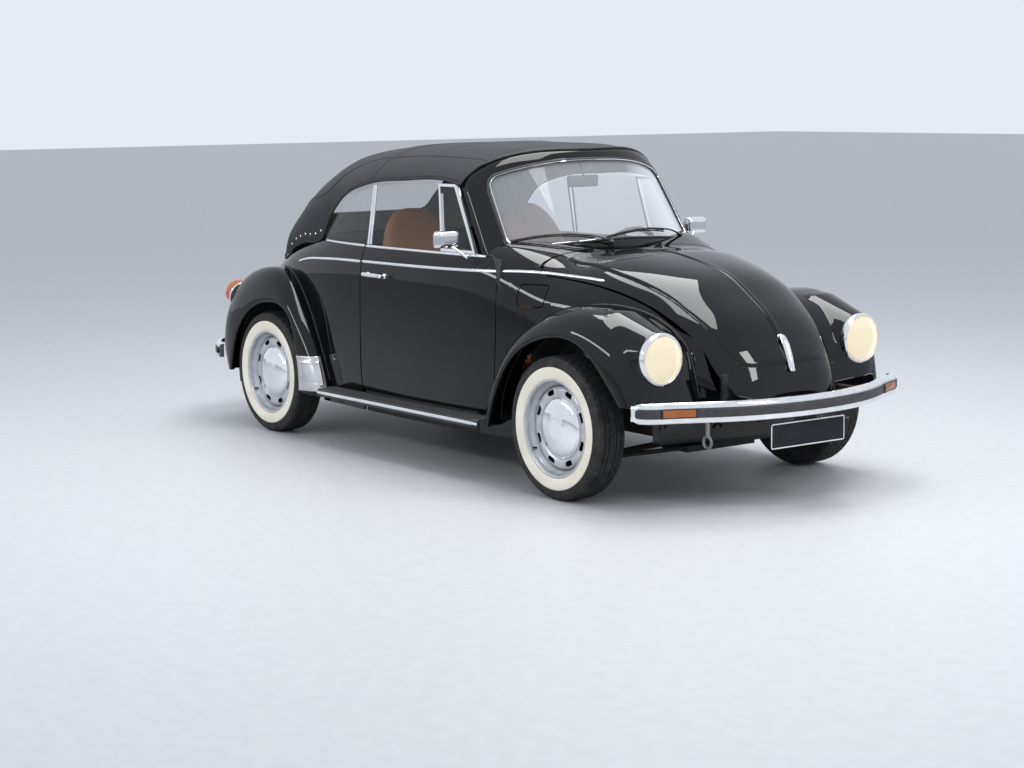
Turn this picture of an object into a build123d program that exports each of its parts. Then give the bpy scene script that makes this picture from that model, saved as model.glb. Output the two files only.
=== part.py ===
"""A classic compact convertible car, its hood up, as an assembly of named pieces.

Design frame: +X forwards, +Y to the car's left, +Z up, on the ground midway between the axles.
Every piece is written shifted by FRAME_SHIFT, which puts the row frame under the centre of the overall box.
"""

from build123d import *
from math import cos, radians, sin, sqrt
import os

os.makedirs("parts", exist_ok=True)

# ---------------------------------------------------------------- driving dimensions (mm)
WHEELBASE = 2420
FRONT_TRACK = 1396
REAR_TRACK = 1350
FRONT_OVERHANG = 800
REAR_OVERHANG = 900
TYRE_RADIUS = 310
TYRE_WIDTH = 160
RIM_RADIUS = 208
RIM_WIDTH = 140
HUB_CAP_RADIUS = 134
DRUM_RADIUS = 100
DRUM_BACK = 58  # from the wheel's centre plane in to the drum's back face
SHEET = 18  # a body panel with its inner frame
DOOR_THICK = 60
FENDER_SHEET = 8
PANEL_GAP = 7
BELT_Z = 1003
DOOR_FRONT_X = 672
DOOR_REAR_X = -390
DOOR_BOTTOM_Z = 306
FLOOR_Z = 200
FLOOR_THICK = 16
TUNNEL_TOP_Z = 320
GLASS = 5
HOOD_THICK = 14
HEADLIGHT_RADIUS = 107
TAIL_LIGHT_RADIUS = 76
BUMPER_DEPTH = 28
STEERING_WHEEL_RADIUS = 190
AXLE_TUBE_RADIUS = 34
KINGPIN_TOP = (525, 735)  # y, z of the strut's upper mount
TOUCH = 0.3  # clearance between pieces that seat on each other
CLEAR = 6  # room left round a piece that passes through another

FRONT_AXLE_X = WHEELBASE / 2
REAR_AXLE_X = -WHEELBASE / 2
AXLE_Z = TYRE_RADIUS
KINGPIN_LOW = (622, AXLE_Z - 132)  # y, z of the lower ball joint
FRONT_WHEEL_Y = FRONT_TRACK / 2
REAR_WHEEL_Y = REAR_TRACK / 2
FRONT_X = FRONT_AXLE_X + FRONT_OVERHANG
REAR_X = REAR_AXLE_X - REAR_OVERHANG
FRAME_SHIFT = -(FRONT_X + REAR_X) / 2
FLOOR_TOP = FLOOR_Z + FLOOR_THICK


def write(piece, name):
    """Labels a finished piece and writes it in the row frame."""
    solid = piece.part if isinstance(piece, BuildPart) else piece
    moved = solid.moved(Location((FRAME_SHIFT, 0, 0)))
    moved.label = name
    export_step(moved, f"parts/{name}.step")


def both_sides(piece):
    """A left-hand piece and its mirror image, as one node of two solids."""
    solid = piece.part if isinstance(piece, BuildPart) else piece
    return Compound(children=list(solid.solids()) + list(solid.mirror(Plane.XZ).solids()))


def write_pair(piece, name):
    """Writes a left-hand piece and its mirror image as two nodes."""
    solid = piece.part if isinstance(piece, BuildPart) else piece
    write(solid, f"{name}_left")
    write(solid.mirror(Plane.XZ), f"{name}_right")


def block(x, y, z):
    """A box between three pairs of limits."""
    with BuildPart() as box:
        with Locations(((x[0] + x[1]) / 2, (y[0] + y[1]) / 2, (z[0] + z[1]) / 2)):
            Box(x[1] - x[0], y[1] - y[0], z[1] - z[0])
    return box.part


def rod(start, end, radius):
    """A round bar between two points."""
    a, b = Vector(*start), Vector(*end)
    with BuildPart() as bar:
        with BuildSketch(Plane(origin=a, z_dir=b - a)):
            Circle(radius)
        extrude(amount=(b - a).length)
    return bar.part


def cross_plane(x):
    """The upright plane across the car at x: its local x is +Y and its local y is +Z."""
    return Plane(origin=(x, 0, 0), x_dir=(0, 1, 0), z_dir=(1, 0, 0))


def side_plane(y):
    """The upright plane along the car at y: its local x is +X and its local y is +Z."""
    return Plane(origin=(0, y, 0), x_dir=(1, 0, 0), z_dir=(0, -1, 0))


def side_prism(points, y, corner=0.0, grow=0.0):
    """A prism along Y over a side-view outline of (x, z) points, from y[0] to y[1]."""
    with BuildPart() as prism:
        with BuildSketch(side_plane(y[1])):
            with BuildLine():
                Polyline(*points, close=True)
            make_face()
            if corner:
                fillet(vertices(), corner)
            if grow:
                offset(amount=grow, kind=Kind.INTERSECTION)
        extrude(amount=y[1] - y[0])
    return prism.part


def top_prism(points, z, grow=0.0):
    """A prism along Z over a plan outline of (x, y) points, from z[0] to z[1]."""
    with BuildPart() as prism:
        with BuildSketch(Plane.XY.offset(z[0])):
            with BuildLine():
                Polyline(*points, close=True)
            make_face()
            if grow:
                offset(amount=grow, kind=Kind.INTERSECTION)
        extrude(amount=z[1] - z[0])
    return prism.part


# ---------------------------------------------------------------- body form
# x, half width, height of that width, height of the crown, lower edge, squareness of the shoulder
BODY_STATIONS = [
    (-1965, 215, 410, 452, 370, 2.6),
    (-1935, 285, 425, 530, 350, 2.7),
    (-1870, 365, 445, 650, 330, 2.8),
    (-1750, 445, 480, 785, 300, 3.0),
    (-1600, 515, 520, 882, 250, 3.4),
    (-1420, 570, 560, 950, 220, 4.0),
    (-1225, 618, 590, 1000, 205, 4.8),
    (-1000, 655, 600, 1050, 200, 5.2),
    (-700, 688, 600, 1095, 200, 5.4),
    (-350, 705, 600, 1115, 200, 5.5),
    (0, 713, 600, 1118, 200, 5.4),
    (350, 708, 600, 1112, 200, 5.4),
    (600, 690, 600, 1080, 200, 5.2),
    (780, 655, 600, 1035, 205, 4.4),
    (926, 622, 600, 1008, 215, 3.6),
    (1060, 594, 600, 1009, 230, 3.2),
    (1211, 555, 595, 991, 250, 3.0),
    (1370, 490, 575, 957, 270, 2.9),
    (1500, 448, 555, 908, 290, 2.8),
    (1611, 415, 530, 839, 310, 2.7),
    (1725, 358, 490, 750, 330, 2.6),
    (1800, 300, 455, 655, 345, 2.6),
    (1852, 236, 425, 547, 355, 2.6),
    (1872, 190, 410, 470, 365, 2.6),
]
HOOD_STATIONS = [
    (620, 640, 990, 1468, 900, 3.4),
    (480, 648, 990, 1488, 900, 3.4),
    (288, 652, 990, 1497, 900, 3.4),
    (0, 656, 990, 1496, 900, 3.4),
    (-356, 648, 985, 1482, 890, 3.4),
    (-620, 630, 970, 1468, 880, 3.3),
    (-793, 612, 960, 1450, 870, 3.2),
    (-1000, 592, 945, 1393, 860, 3.0),
    (-1150, 572, 930, 1312, 850, 2.9),
    (-1300, 545, 905, 1195, 830, 2.8),
    (-1410, 505, 880, 1075, 800, 2.7),
    (-1480, 440, 850, 965, 780, 2.6),
]
SHOULDER_ANGLES = (18, 36, 54, 72)


def half_section(half_width, wide_z, top_z, low_z, squareness):
    """Points of one side of a body section, from its lower edge up to the shoulder."""
    tuck = 0.03 * half_width
    points = [(half_width - tuck, low_z), (half_width - tuck / 4, (low_z + wide_z) / 2)]
    points.append((half_width, wide_z))
    for angle in SHOULDER_ANGLES:
        y = half_width * cos(radians(angle)) ** (2 / squareness)
        z = wide_z + (top_z - wide_z) * sin(radians(angle)) ** (2 / squareness)
        points.append((y, z))
    return points


def long_loft(stations, inset=0.0, drop=0.0):
    """A smooth solid through cross sections, or that solid taken in by inset, its bottom lowered by drop."""
    shrink = 1 - inset / 1900
    with BuildPart() as form:
        for x, half_width, wide_z, top_z, low_z, squareness in stations:
            points = half_section(half_width - inset, wide_z, top_z - inset, low_z - drop, squareness)
            other = [(-y, z) for y, z in reversed(points)]
            with BuildSketch(cross_plane(x * shrink)):
                with BuildLine():
                    Spline(*points, (0, top_z - inset), *other)
                    Line(other[-1], points[0])
                make_face()
        loft()
    return form.part


def wheelhouse(axle_x, inner_y, radius):
    """The room cleared for both wheels of an axle, outwards from inner_y."""
    with BuildPart() as room:
        for side in (-1, 1):
            with Locations((axle_x, side * (inner_y + 300), AXLE_Z)):
                Cylinder(radius, 600, rotation=(90, 0, 0))
            with Locations((axle_x, side * (inner_y + 300), AXLE_Z - 150)):
                Box(2 * radius, 600, 300)
    return room.part


FRONT_ARCH = (FRONT_AXLE_X, 452, 440)
REAR_ARCH = (REAR_AXLE_X, 578, 400)


def grown(arch):
    """The same wheelhouse with its sheet added."""
    return (arch[0], arch[1] - SHEET, arch[2] + SHEET)


body_form = long_loft(BODY_STATIONS)
body_void = long_loft(BODY_STATIONS, inset=SHEET, drop=80)
outer = body_form - wheelhouse(*FRONT_ARCH) - wheelhouse(*REAR_ARCH)
inner = body_void - wheelhouse(*grown(FRONT_ARCH)) - wheelhouse(*grown(REAR_ARCH))
inner_clear = long_loft(BODY_STATIONS, inset=SHEET + TOUCH, drop=80)
shell = outer - inner

# ---------------------------------------------------------------- windscreen
SCREEN_BASE_X = 790
SCREEN_BASE_Z = 1040
SCREEN_LEAN = 270 / 410
SCREEN_SHEET = 28
SCREEN_LOW_Z = 960
SCREEN_HIGH_Z = 1510
SCREEN_HALF = 632
HEADER_Z = 1487


def screen_radius(z):
    return 815 - (z - 1034) * 75 / 308


def screen_centre_x(z):
    """Centre of the plan circle of the screen's outer face at height z."""
    return SCREEN_BASE_X - SCREEN_LEAN * (z - SCREEN_BASE_Z) - screen_radius(z)


def screen_layer(outwards, thickness):
    """A curved raked layer: its outer face stands outwards from the screen's outer face."""
    with BuildPart() as layer:
        for z in (SCREEN_LOW_Z, SCREEN_HIGH_Z):
            centre = screen_centre_x(z)
            faces = []
            for radius in (screen_radius(z) + outwards, screen_radius(z) + outwards - thickness):
                end = centre + sqrt(radius**2 - SCREEN_HALF**2)
                faces.append(((end, -SCREEN_HALF), (centre + radius, 0), (end, SCREEN_HALF)))
            with BuildSketch(Plane.XY.offset(z)):
                with BuildLine():
                    ThreePointArc(*faces[0])
                    Line(faces[0][2], faces[1][2])
                    ThreePointArc(*reversed(faces[1]))
                    Line(faces[1][0], faces[0][0])
                make_face()
        loft(ruled=True)
    return layer.part


def behind_screen(inwards):
    """Everything behind the screen's outer face moved in by inwards."""
    with BuildPart() as space:
        for z in (SCREEN_LOW_Z, SCREEN_HIGH_Z):
            centre = screen_centre_x(z)
            radius = screen_radius(z) - inwards
            end = centre + sqrt(radius**2 - SCREEN_HALF**2)
            with BuildSketch(Plane.XY.offset(z)):
                with BuildLine():
                    ThreePointArc((end, -SCREEN_HALF), (centre + radius, 0), (end, SCREEN_HALF))
                    Line((end, SCREEN_HALF), (-1600, SCREEN_HALF))
                    Line((-1600, SCREEN_HALF), (-1600, -SCREEN_HALF))
                    Line((-1600, -SCREEN_HALF), (end, -SCREEN_HALF))
                make_face()
        loft(ruled=True)
    return space.part


def screen_outline(half_low, half_high, low_z, side_z, top_z, grow=0.0):
    """A prism along X over the front-view outline of the windscreen."""
    with BuildPart() as prism:
        with BuildSketch(cross_plane(0)):
            with BuildLine():
                ThreePointArc((-half_low, low_z), (0, low_z + 12), (half_low, low_z))
                Line((half_low, low_z), (half_high, side_z))
                ThreePointArc((half_high, side_z), (0, top_z), (-half_high, side_z))
                Line((-half_high, side_z), (-half_low, low_z))
            make_face()
            fillet(vertices(), 45)
            if grow:
                offset(amount=grow)
        extrude(amount=1000)
    return prism.part


form_clear = long_loft(BODY_STATIONS, inset=-TOUCH)
frame_face = screen_outline(620, 583, SCREEN_LOW_Z + 5, 1345, HEADER_Z)
glass_face = screen_outline(532, 512, 1034, 1338, 1450)
glass_gap = screen_outline(532, 512, 1034, 1338, 1450, grow=TOUCH)
screen_frame = (screen_layer(0, SCREEN_SHEET) & frame_face) - glass_gap - form_clear
write(screen_frame.solids().sort_by(SortBy.VOLUME)[-1], "windscreen_frame")
screen_glass = (screen_layer(-8, GLASS) & glass_face) - form_clear
write(screen_glass, "windscreen_glass")

# ---------------------------------------------------------------- soft top
WINDOW_TOP = [(333, 1330), (150, 1330), (-182, 1321), (-354, 1312), (-624, 1259), (-766, 1156)]
WINDOW_REAR = [(-866, 1026), (-900, 940)]
hood_form = long_loft(HOOD_STATIONS)
hood_shell = hood_form - long_loft(HOOD_STATIONS, inset=HOOD_THICK, drop=60)
side_gap = side_prism([(700, 1330), *WINDOW_TOP, *WINDOW_REAR, (700, 940)], (-700, 700))


def rear_window(grow=0.0):
    """A prism along X over the rear window's outline."""
    with BuildPart() as prism:
        with BuildSketch(cross_plane(-1700)):
            with Locations((0, 1195)):
                RectangleRounded(720 + 2 * grow, 200 + 2 * grow, 45 + grow)
        extrude(amount=800)
    return prism.part


hood = (hood_shell & behind_screen(SCREEN_SHEET + TOUCH)) - side_gap - form_clear
soft_top = (hood - rear_window(TOUCH)).solids().sort_by(SortBy.VOLUME)[-1]
write(soft_top, "soft_top")
rear_glass = (hood_shell & rear_window()).solids().sort_by(Axis.X)[0]


def leaning_plane(front, rear, high_y):
    """The plane of a side window through two sill points (x, y), leaning in to high_y at the hood's edge."""
    low_a = Vector(front[0], front[1], BELT_Z)
    low_b = Vector(rear[0], rear[1], BELT_Z)
    across = (low_b - low_a).normalized()
    up = Vector(0, high_y - front[1], WINDOW_TOP[0][1] - BELT_Z).normalized()
    return Plane(origin=low_a, x_dir=-across, z_dir=(-across).cross(up))


SILL = BELT_Z + 0.8
QUARTER = leaning_plane((-397, 640), (-860, 608), 590)


def on_quarter(x, z):
    """Local coordinates on the quarter window's plane of the point at x and height z."""
    return ((x - QUARTER.origin.X) / QUARTER.x_dir.X, (z - BELT_Z) / QUARTER.y_dir.Z)


with BuildPart() as quarter_glass:
    with BuildSketch(QUARTER):
        with BuildLine():
            outline = [(-400, SILL), (-400, 1296), (-575, 1256), (-712, 1178), (-808, 1060), (-848, SILL)]
            Polyline(*[on_quarter(x, z) for x, z in outline], close=True)
        make_face()
    extrude(amount=GLASS / 2, both=True)
side_glass = both_sides(quarter_glass)
write(Compound(children=[rear_glass, *side_glass.solids()]), "rear_windows")

# ---------------------------------------------------------------- doors
DOOR_OUTLINE = [
    (DOOR_REAR_X + 5, BELT_Z),
    (545, BELT_Z),
    (DOOR_FRONT_X - 30, 985),
    (DOOR_FRONT_X - 3, 900),
    (DOOR_FRONT_X, 700),
    (DOOR_FRONT_X - 12, 480),
    (DOOR_FRONT_X - 38, DOOR_BOTTOM_Z),
    (DOOR_REAR_X - 8, DOOR_BOTTOM_Z),
    (DOOR_REAR_X, 700),
]
DOOR_HINGE = (DOOR_FRONT_X + 4, 696)
door_face = side_prism(DOOR_OUTLINE, (500, 800))
door_hole = side_prism(DOOR_OUTLINE, (500, 800), grow=PANEL_GAP)
cabin_stations = [row for row in BODY_STATIONS if -1250 < row[0] < 1250]
inner_form = long_loft(cabin_stations, inset=DOOR_THICK, drop=80)
HANDLE = ((-335, -144), (690, 733), (858, 876))
door = ((body_form & door_face) - inner_form) + (block(*HANDLE) - inner_form)
hinge_room = side_prism(DOOR_OUTLINE, (500, 800), grow=PANEL_GAP - TOUCH)
for z in (500, 830):
    door = door + (block((DOOR_FRONT_X - 40, DOOR_FRONT_X + PANEL_GAP), (640, 660), (z, z + 40)) & hinge_room)
write_pair(door.solids().sort_by(SortBy.VOLUME)[-1], "door")

SIDE_GLASS = leaning_plane((520, 632), (-390, 640), 590)


def on_side(x, z):
    """Local coordinates on the door window's plane of the point at x and height z."""
    return ((x - SIDE_GLASS.origin.X) / SIDE_GLASS.x_dir.X, (z - BELT_Z) / SIDE_GLASS.y_dir.Z)


FRAME_BAR = 13
FRAME_SILL = BELT_Z + 1.7
MAIN_PANE = [(206, SILL), (140, 1312), (-182, 1304), (-354, 1296), (-383, 1293), (-383, SILL)]
VENT_PANE = [(476, FRAME_SILL), (276, 1312), (142, 1312), (208, FRAME_SILL)]


def window_piece(points, grow, depth):
    """A flat piece on the door window's plane."""
    with BuildPart() as pane:
        with BuildSketch(SIDE_GLASS):
            with BuildLine():
                Polyline(*[on_side(x, z) for x, z in points], close=True)
            make_face()
            if grow:
                offset(amount=grow, kind=Kind.INTERSECTION)
        extrude(amount=depth / 2, both=True)
    return pane.part


vent_frame = window_piece(VENT_PANE, 0, 16) - window_piece(VENT_PANE, -FRAME_BAR, 40)
vent_glass = window_piece(VENT_PANE, -FRAME_BAR - TOUCH, GLASS)
write_pair(vent_frame, "vent_window_frame")
main_glass = window_piece(MAIN_PANE, 0, GLASS)
for side in ("left", "right"):
    panes = [*main_glass.solids(), *vent_glass.solids()]
    if side == "right":
        panes = [pane.mirror(Plane.XZ) for pane in panes]
    write(Compound(children=panes), f"door_window_{side}")

with BuildPart() as mirror_head:
    with Locations((411, 759, 1073)):
        Box(46, 150, 86)
    fillet(mirror_head.edges(), 12)
mirror_arm = rod((440, 655, 975), (415, 735, 1050), 9)
door_mirror = (mirror_head.part + mirror_arm) - form_clear
write_pair(door_mirror.solids().sort_by(SortBy.VOLUME)[-1], "mirror")

# ---------------------------------------------------------------- bonnet, engine lid, fuel flap
BONNET_REAR_X = 820
BONNET_GAP = 9
BULKHEAD_X = 862
BONNET_EDGE = [
    (BONNET_REAR_X, 468),
    (836, 520),
    (866, 545),
    (900, 536),
    (1002, 508),
    (1152, 479),
    (1304, 438),
    (1449, 402),
    (1597, 371),
    (1712, 345),
    (1768, 320),
    (1805, 293),
    (1830, 268),
]
BONNET_NOSE = [(1900, 225)]
BONNET_LOW_Z = 452
bonnet_plan = [*BONNET_EDGE, *BONNET_NOSE]
bonnet_plan = bonnet_plan + [(x, -y) for x, y in reversed(bonnet_plan)]
bonnet_column = top_prism(bonnet_plan, (BONNET_LOW_Z, 1200))
bonnet_hole = top_prism(bonnet_plan, (BONNET_LOW_Z - BONNET_GAP, 1200), grow=BONNET_GAP)
BONNET_HINGE = (BONNET_REAR_X - 30, 1024)
bonnet = (body_form & bonnet_column) - body_void
handle_bar = rod((1782, 0, 700), (1868, 0, 545), 11) + rod((1760, 0, 690), (1784, 0, 698), 9)
handle_bar = handle_bar + rod((1845, 0, 553), (1866, 0, 548), 9)
bonnet = bonnet + (handle_bar - body_void)
for y in (-380, 360):
    foot = block((BULKHEAD_X + TOUCH, 935), (y, y + 20), (925, 955))
    upright = block((914, 935), (y, y + 20), (925, 1000))
    bonnet = bonnet + ((foot + upright) & body_void)
bonnet = bonnet.solids().sort_by(SortBy.VOLUME)[-1]
write(bonnet, "bonnet")


def lid_outline(grow=0.0):
    """A prism along X over the engine lid's outline seen from behind."""
    with BuildPart() as prism:
        with BuildSketch(cross_plane(-2100)):
            with BuildLine():
                Polyline((-395, 895), (395, 895), (330, 490), (-330, 490), close=True)
            make_face()
            fillet(vertices(), 70)
            if grow:
                offset(amount=grow)
        extrude(amount=800)
    return prism.part


LID_HINGE = (-1580, 912)
LID_ARM_Z = 862
PLATE_HALF = 216
PLATE_SIZE = 110
PLATE_SHEET = 4
REAR_PLATE_X = -1950
REAR_PLATE_Z = 605
lid_skin = (body_form & lid_outline()) - body_void
plate_back_x = REAR_PLATE_X + PLATE_SHEET + TOUCH
plate_pad = block((plate_back_x, -1840), (-140, 140), (REAR_PLATE_Z - 30, REAR_PLATE_Z + 30))
lamp_pad = block((-1925, -1800), (-70, 70), (REAR_PLATE_Z + 75, REAR_PLATE_Z + 125))
engine_lid = lid_skin + ((plate_pad + lamp_pad) - body_void)
for y in (-210, 190):
    engine_lid = engine_lid + (block((-1680, -1455), (y, y + 20), (LID_ARM_Z - 22, LID_ARM_Z)) & body_void)
engine_lid = engine_lid.solids().sort_by(SortBy.VOLUME)[-1]
write(engine_lid, "engine_lid")
half_plate = PLATE_SIZE / 2
rear_plate_z = (REAR_PLATE_Z - half_plate, REAR_PLATE_Z + half_plate)
rear_plate = block((REAR_PLATE_X, REAR_PLATE_X + PLATE_SHEET), (-PLATE_HALF, PLATE_HALF), rear_plate_z)
write(rear_plate, "rear_plate")

FLAP_FRONT_X = 928
FLAP_REAR_X = FLAP_FRONT_X - 135
FLAP_Z = (795, 888)
FLAP_OUTLINE = [
    (FLAP_REAR_X, FLAP_Z[0]),
    (FLAP_FRONT_X, FLAP_Z[0]),
    (FLAP_FRONT_X, FLAP_Z[1]),
    (FLAP_REAR_X, FLAP_Z[1]),
]
FLAP_HINGE = (FLAP_FRONT_X + 4, -612)
flap = (body_form & side_prism(FLAP_OUTLINE, (-760, -400), corner=14)) - body_void
flap = flap + block((FLAP_FRONT_X - 13, FLAP_FRONT_X + PANEL_GAP - TOUCH), (-593, -581), (835, 850))
write(flap, "fuel_flap")
flap_hole = side_prism(FLAP_OUTLINE, (-760, -400), corner=14, grow=PANEL_GAP)

# ---------------------------------------------------------------- body panels that stay put
cockpit_front = [(500, 625), (575, 540), (655, 420), (715, 280), (750, 140), (760, 0)]
cockpit_plan = cockpit_front + [(x, -y) for x, y in reversed(cockpit_front[:-1])]
cockpit_plan = cockpit_plan + [(500, -720), (-1150, -720), (-1150, 720), (500, 720)]
cockpit = top_prism(cockpit_plan, (BELT_Z, 1300))
far = 2200
side_holes = door_hole + door_hole.mirror(Plane.XZ)
hull = shell - cockpit - side_holes
LUGGAGE_FLOOR_Z = 392
front_shell = (hull & block((DOOR_FRONT_X - 122, far), (-800, 800), (0, 1200))) - bonnet_hole - flap_hole
tub = block((BULKHEAD_X, 1790), (-600, 600), (LUGGAGE_FLOOR_Z, LUGGAGE_FLOOR_Z + 12))
bulkhead = block((BULKHEAD_X - 12, BULKHEAD_X), (-640, 640), (FLOOR_TOP + TOUCH, 985)) & inner_clear
flap_room = block((FLAP_FRONT_X - 150, FLAP_FRONT_X + 19), (-700, -530), (784, 899))
front_body = front_shell + (((tub & inner) + (bulkhead & inner)) - flap_room)
write(front_body.solids().sort_by(SortBy.VOLUME)[-1], "front_body")

FIREWALL_X = -1130
rear_shell = (hull & block((-far, DOOR_REAR_X + 20), (-800, 800), (0, 1200))) - lid_outline(PANEL_GAP)
firewall = block((FIREWALL_X - 12, FIREWALL_X), (-640, 640), (FLOOR_TOP + TOUCH, 1020))
axle_hole = rod((REAR_AXLE_X, -620, AXLE_Z), (REAR_AXLE_X, 620, AXLE_Z), AXLE_TUBE_RADIUS + CLEAR)
tunnel_hole = block((-1300, 0), (-75 - CLEAR, 75 + CLEAR), (0, TUNNEL_TOP_Z + CLEAR))
rear_body = (rear_shell + ((firewall & inner) - tunnel_hole)) - axle_hole
for y in (-210, 190):
    rear_body = rear_body + (block((-1485, -1458), (y, y + 20), (LID_ARM_Z + TOUCH, 960)) & body_void)
write(rear_body.solids().sort_by(SortBy.VOLUME)[-1], "rear_body")

# ---------------------------------------------------------------- floor, sills, running boards
SILL_TOP_Z = 298
PAD_Z = FLOOR_Z - 12
SILL_REAR_X = DOOR_REAR_X + 20 + TOUCH
SILL_FRONT_X = DOOR_FRONT_X - 122 - TOUCH
sill = body_form & block((SILL_REAR_X, SILL_FRONT_X), (585, 800), (FLOOR_Z, SILL_TOP_Z))
floor_plate = block((-780, 740), (-600, 600), (FLOOR_Z, FLOOR_TOP))
floor_plate = floor_plate + block((-1129, -780), (-550, 550), (FLOOR_Z, FLOOR_TOP))
floor_plate = floor_plate + block((740, BULKHEAD_X - 12 - TOUCH), (-425, 425), (FLOOR_Z, FLOOR_TOP))
floor_plate = floor_plate & inner_clear
tunnel = block((FIREWALL_X - 16, BULKHEAD_X - 40), (-75, 75), (FLOOR_Z, TUNNEL_TOP_Z))
head = block((BULKHEAD_X - 60, 1330), (-140, 140), (FLOOR_Z, FLOOR_TOP + 60))
pads = [block((x - 40, x + 40), (y - 40, y + 40), (PAD_Z, FLOOR_Z)) for x in (-330, 480) for y in (-530, 530)]
floor_pan = floor_plate + tunnel + (head - block((0, BULKHEAD_X + TOUCH), (-300, 300), (FLOOR_TOP, 400)))
floor_pan = floor_pan + sill + sill.mirror(Plane.XZ)
for pad in pads:
    floor_pan = floor_pan + pad
write(floor_pan.solids().sort_by(SortBy.VOLUME)[-1], "floor_pan")

BOARD_FRONT_X = 676
BOARD_REAR_X = -672
board = block((BOARD_REAR_X, BOARD_FRONT_X), (640, 785), (258, 286)) - form_clear
write(both_sides(board), "running_boards")

# ---------------------------------------------------------------- fenders
# angle about the axle, radius inboard, crown radius, crown y, lip radius, lip y
FRONT_FENDER = [
    (186, 500, 522, 700, 465, 785),
    (170, 495, 502, 700, 430, 785),
    (151, 482, 484, 685, 408, 785),
    (130, 478, 484, 655, 396, 785),
    (105, 490, 500, 640, 388, 785),
    (85, 502, 522, 630, 400, 785),
    (68, 518, 545, 612, 415, 783),
    (51, 540, 570, 600, 415, 778),
    (38, 545, 565, 592, 410, 768),
    (25, 520, 532, 590, 415, 752),
    (14, 505, 512, 582, 428, 738),
    (3, 495, 502, 575, 442, 724),
    (-4, 490, 498, 570, 448, 716),
]
REAR_FENDER = [
    (184, 455, 470, 640, 385, 752),
    (171, 520, 545, 640, 362, 758),
    (155, 555, 580, 640, 347, 765),
    (138, 560, 583, 645, 345, 768),
    (120, 545, 565, 655, 347, 770),
    (103, 530, 546, 665, 356, 770),
    (85, 512, 530, 675, 372, 770),
    (68, 470, 492, 690, 396, 770),
    (50, 428, 456, 705, 418, 770),
    (32, 414, 444, 720, 426, 775),
    (15, 424, 452, 730, 436, 780),
    (3, 455, 484, 735, 466, 782),
    (-4, 482, 512, 735, 496, 783),
]
FENDER_INNER_Y = 380


def fender_loft(rows, axle_x, low, high):
    """A fender's layer between two distances out from its skin, lofted through planes about the axle."""
    with BuildPart() as layer:
        for angle, inboard, crown, crown_y, lip, lip_y in rows:
            along = Vector(cos(radians(angle)), 0, sin(radians(angle)))
            plane = Plane(origin=(axle_x, 0, AXLE_Z), x_dir=along, z_dir=along.cross(Vector(0, 1, 0)))
            curves = []
            for out in (low, high):
                middle = ((inboard + 3 * crown) / 4 + out, (FENDER_INNER_Y + crown_y) / 2)
                points = [(inboard + out, FENDER_INNER_Y), middle, (crown + out, crown_y)]
                for turn in (30, 60, 90):
                    r = lip + (crown - lip + out) * cos(radians(turn))
                    y = crown_y + (lip_y - crown_y + out) * sin(radians(turn))
                    points.append((r, y))
                curves.append(points)
            with BuildSketch(plane):
                with BuildLine():
                    Spline(*curves[0])
                    Line(curves[0][-1], curves[1][-1])
                    Spline(*reversed(curves[1]))
                    Line(curves[1][0], curves[0][0])
                make_face()
        loft()
    return layer.part


HEADLIGHT_X = 1690
HEADLIGHT_Y = 582
HEADLIGHT_Z = 635
BRACKET_Y = (414, 440)
BRACKET_Z = (408, 448)
BRACKET_BACK = 1560
bracket = block((BRACKET_BACK, 1935), BRACKET_Y, BRACKET_Z) - form_clear
bracket = bracket.solids().sort_by(SortBy.VOLUME)[-1]
bracket_hole = block(
    (BRACKET_BACK - 300, 2000),
    (BRACKET_Y[0] - CLEAR - 30, BRACKET_Y[1] + CLEAR),
    (BRACKET_Z[0] - CLEAR, BRACKET_Z[1] + CLEAR),
)
bucket_start = (1500, HEADLIGHT_Y, HEADLIGHT_Z)
bucket_end = (1900, HEADLIGHT_Y, HEADLIGHT_Z)
bucket_hole = rod(bucket_start, bucket_end, HEADLIGHT_RADIUS + TOUCH)
front_fender = fender_loft(FRONT_FENDER, FRONT_AXLE_X, -FENDER_SHEET, 0) - form_clear
front_fender = front_fender - bucket_hole - bracket_hole
front_fender = front_fender.solids().sort_by(SortBy.VOLUME)[-1]
write(both_sides(front_fender), "front_fenders")

TAIL_LIGHT_BASE = Vector(-1625, 648, 662)
TAIL_LIGHT_DIR = Vector(-cos(radians(18)), 0, sin(radians(18)))
TAIL_LIGHT_LENGTH = 128
lamp_hole = rod(
    TAIL_LIGHT_BASE - TAIL_LIGHT_DIR * 10, TAIL_LIGHT_BASE + TAIL_LIGHT_DIR * 200, TAIL_LIGHT_RADIUS + TOUCH
)
rear_fender = fender_loft(REAR_FENDER, REAR_AXLE_X, -FENDER_SHEET, 0) - form_clear - lamp_hole
rear_fender = rear_fender.solids().sort_by(SortBy.VOLUME)[-1]
write(both_sides(rear_fender), "rear_fenders")
guard_zone = block((REAR_AXLE_X + 350, REAR_AXLE_X + 610), (705, 800), (AXLE_Z - 18, AXLE_Z + 138))
guard = fender_loft(REAR_FENDER, REAR_AXLE_X, TOUCH, TOUCH + 3) & guard_zone
write(both_sides(guard.solids().sort_by(SortBy.VOLUME)[-1]), "stone_guards")

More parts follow.
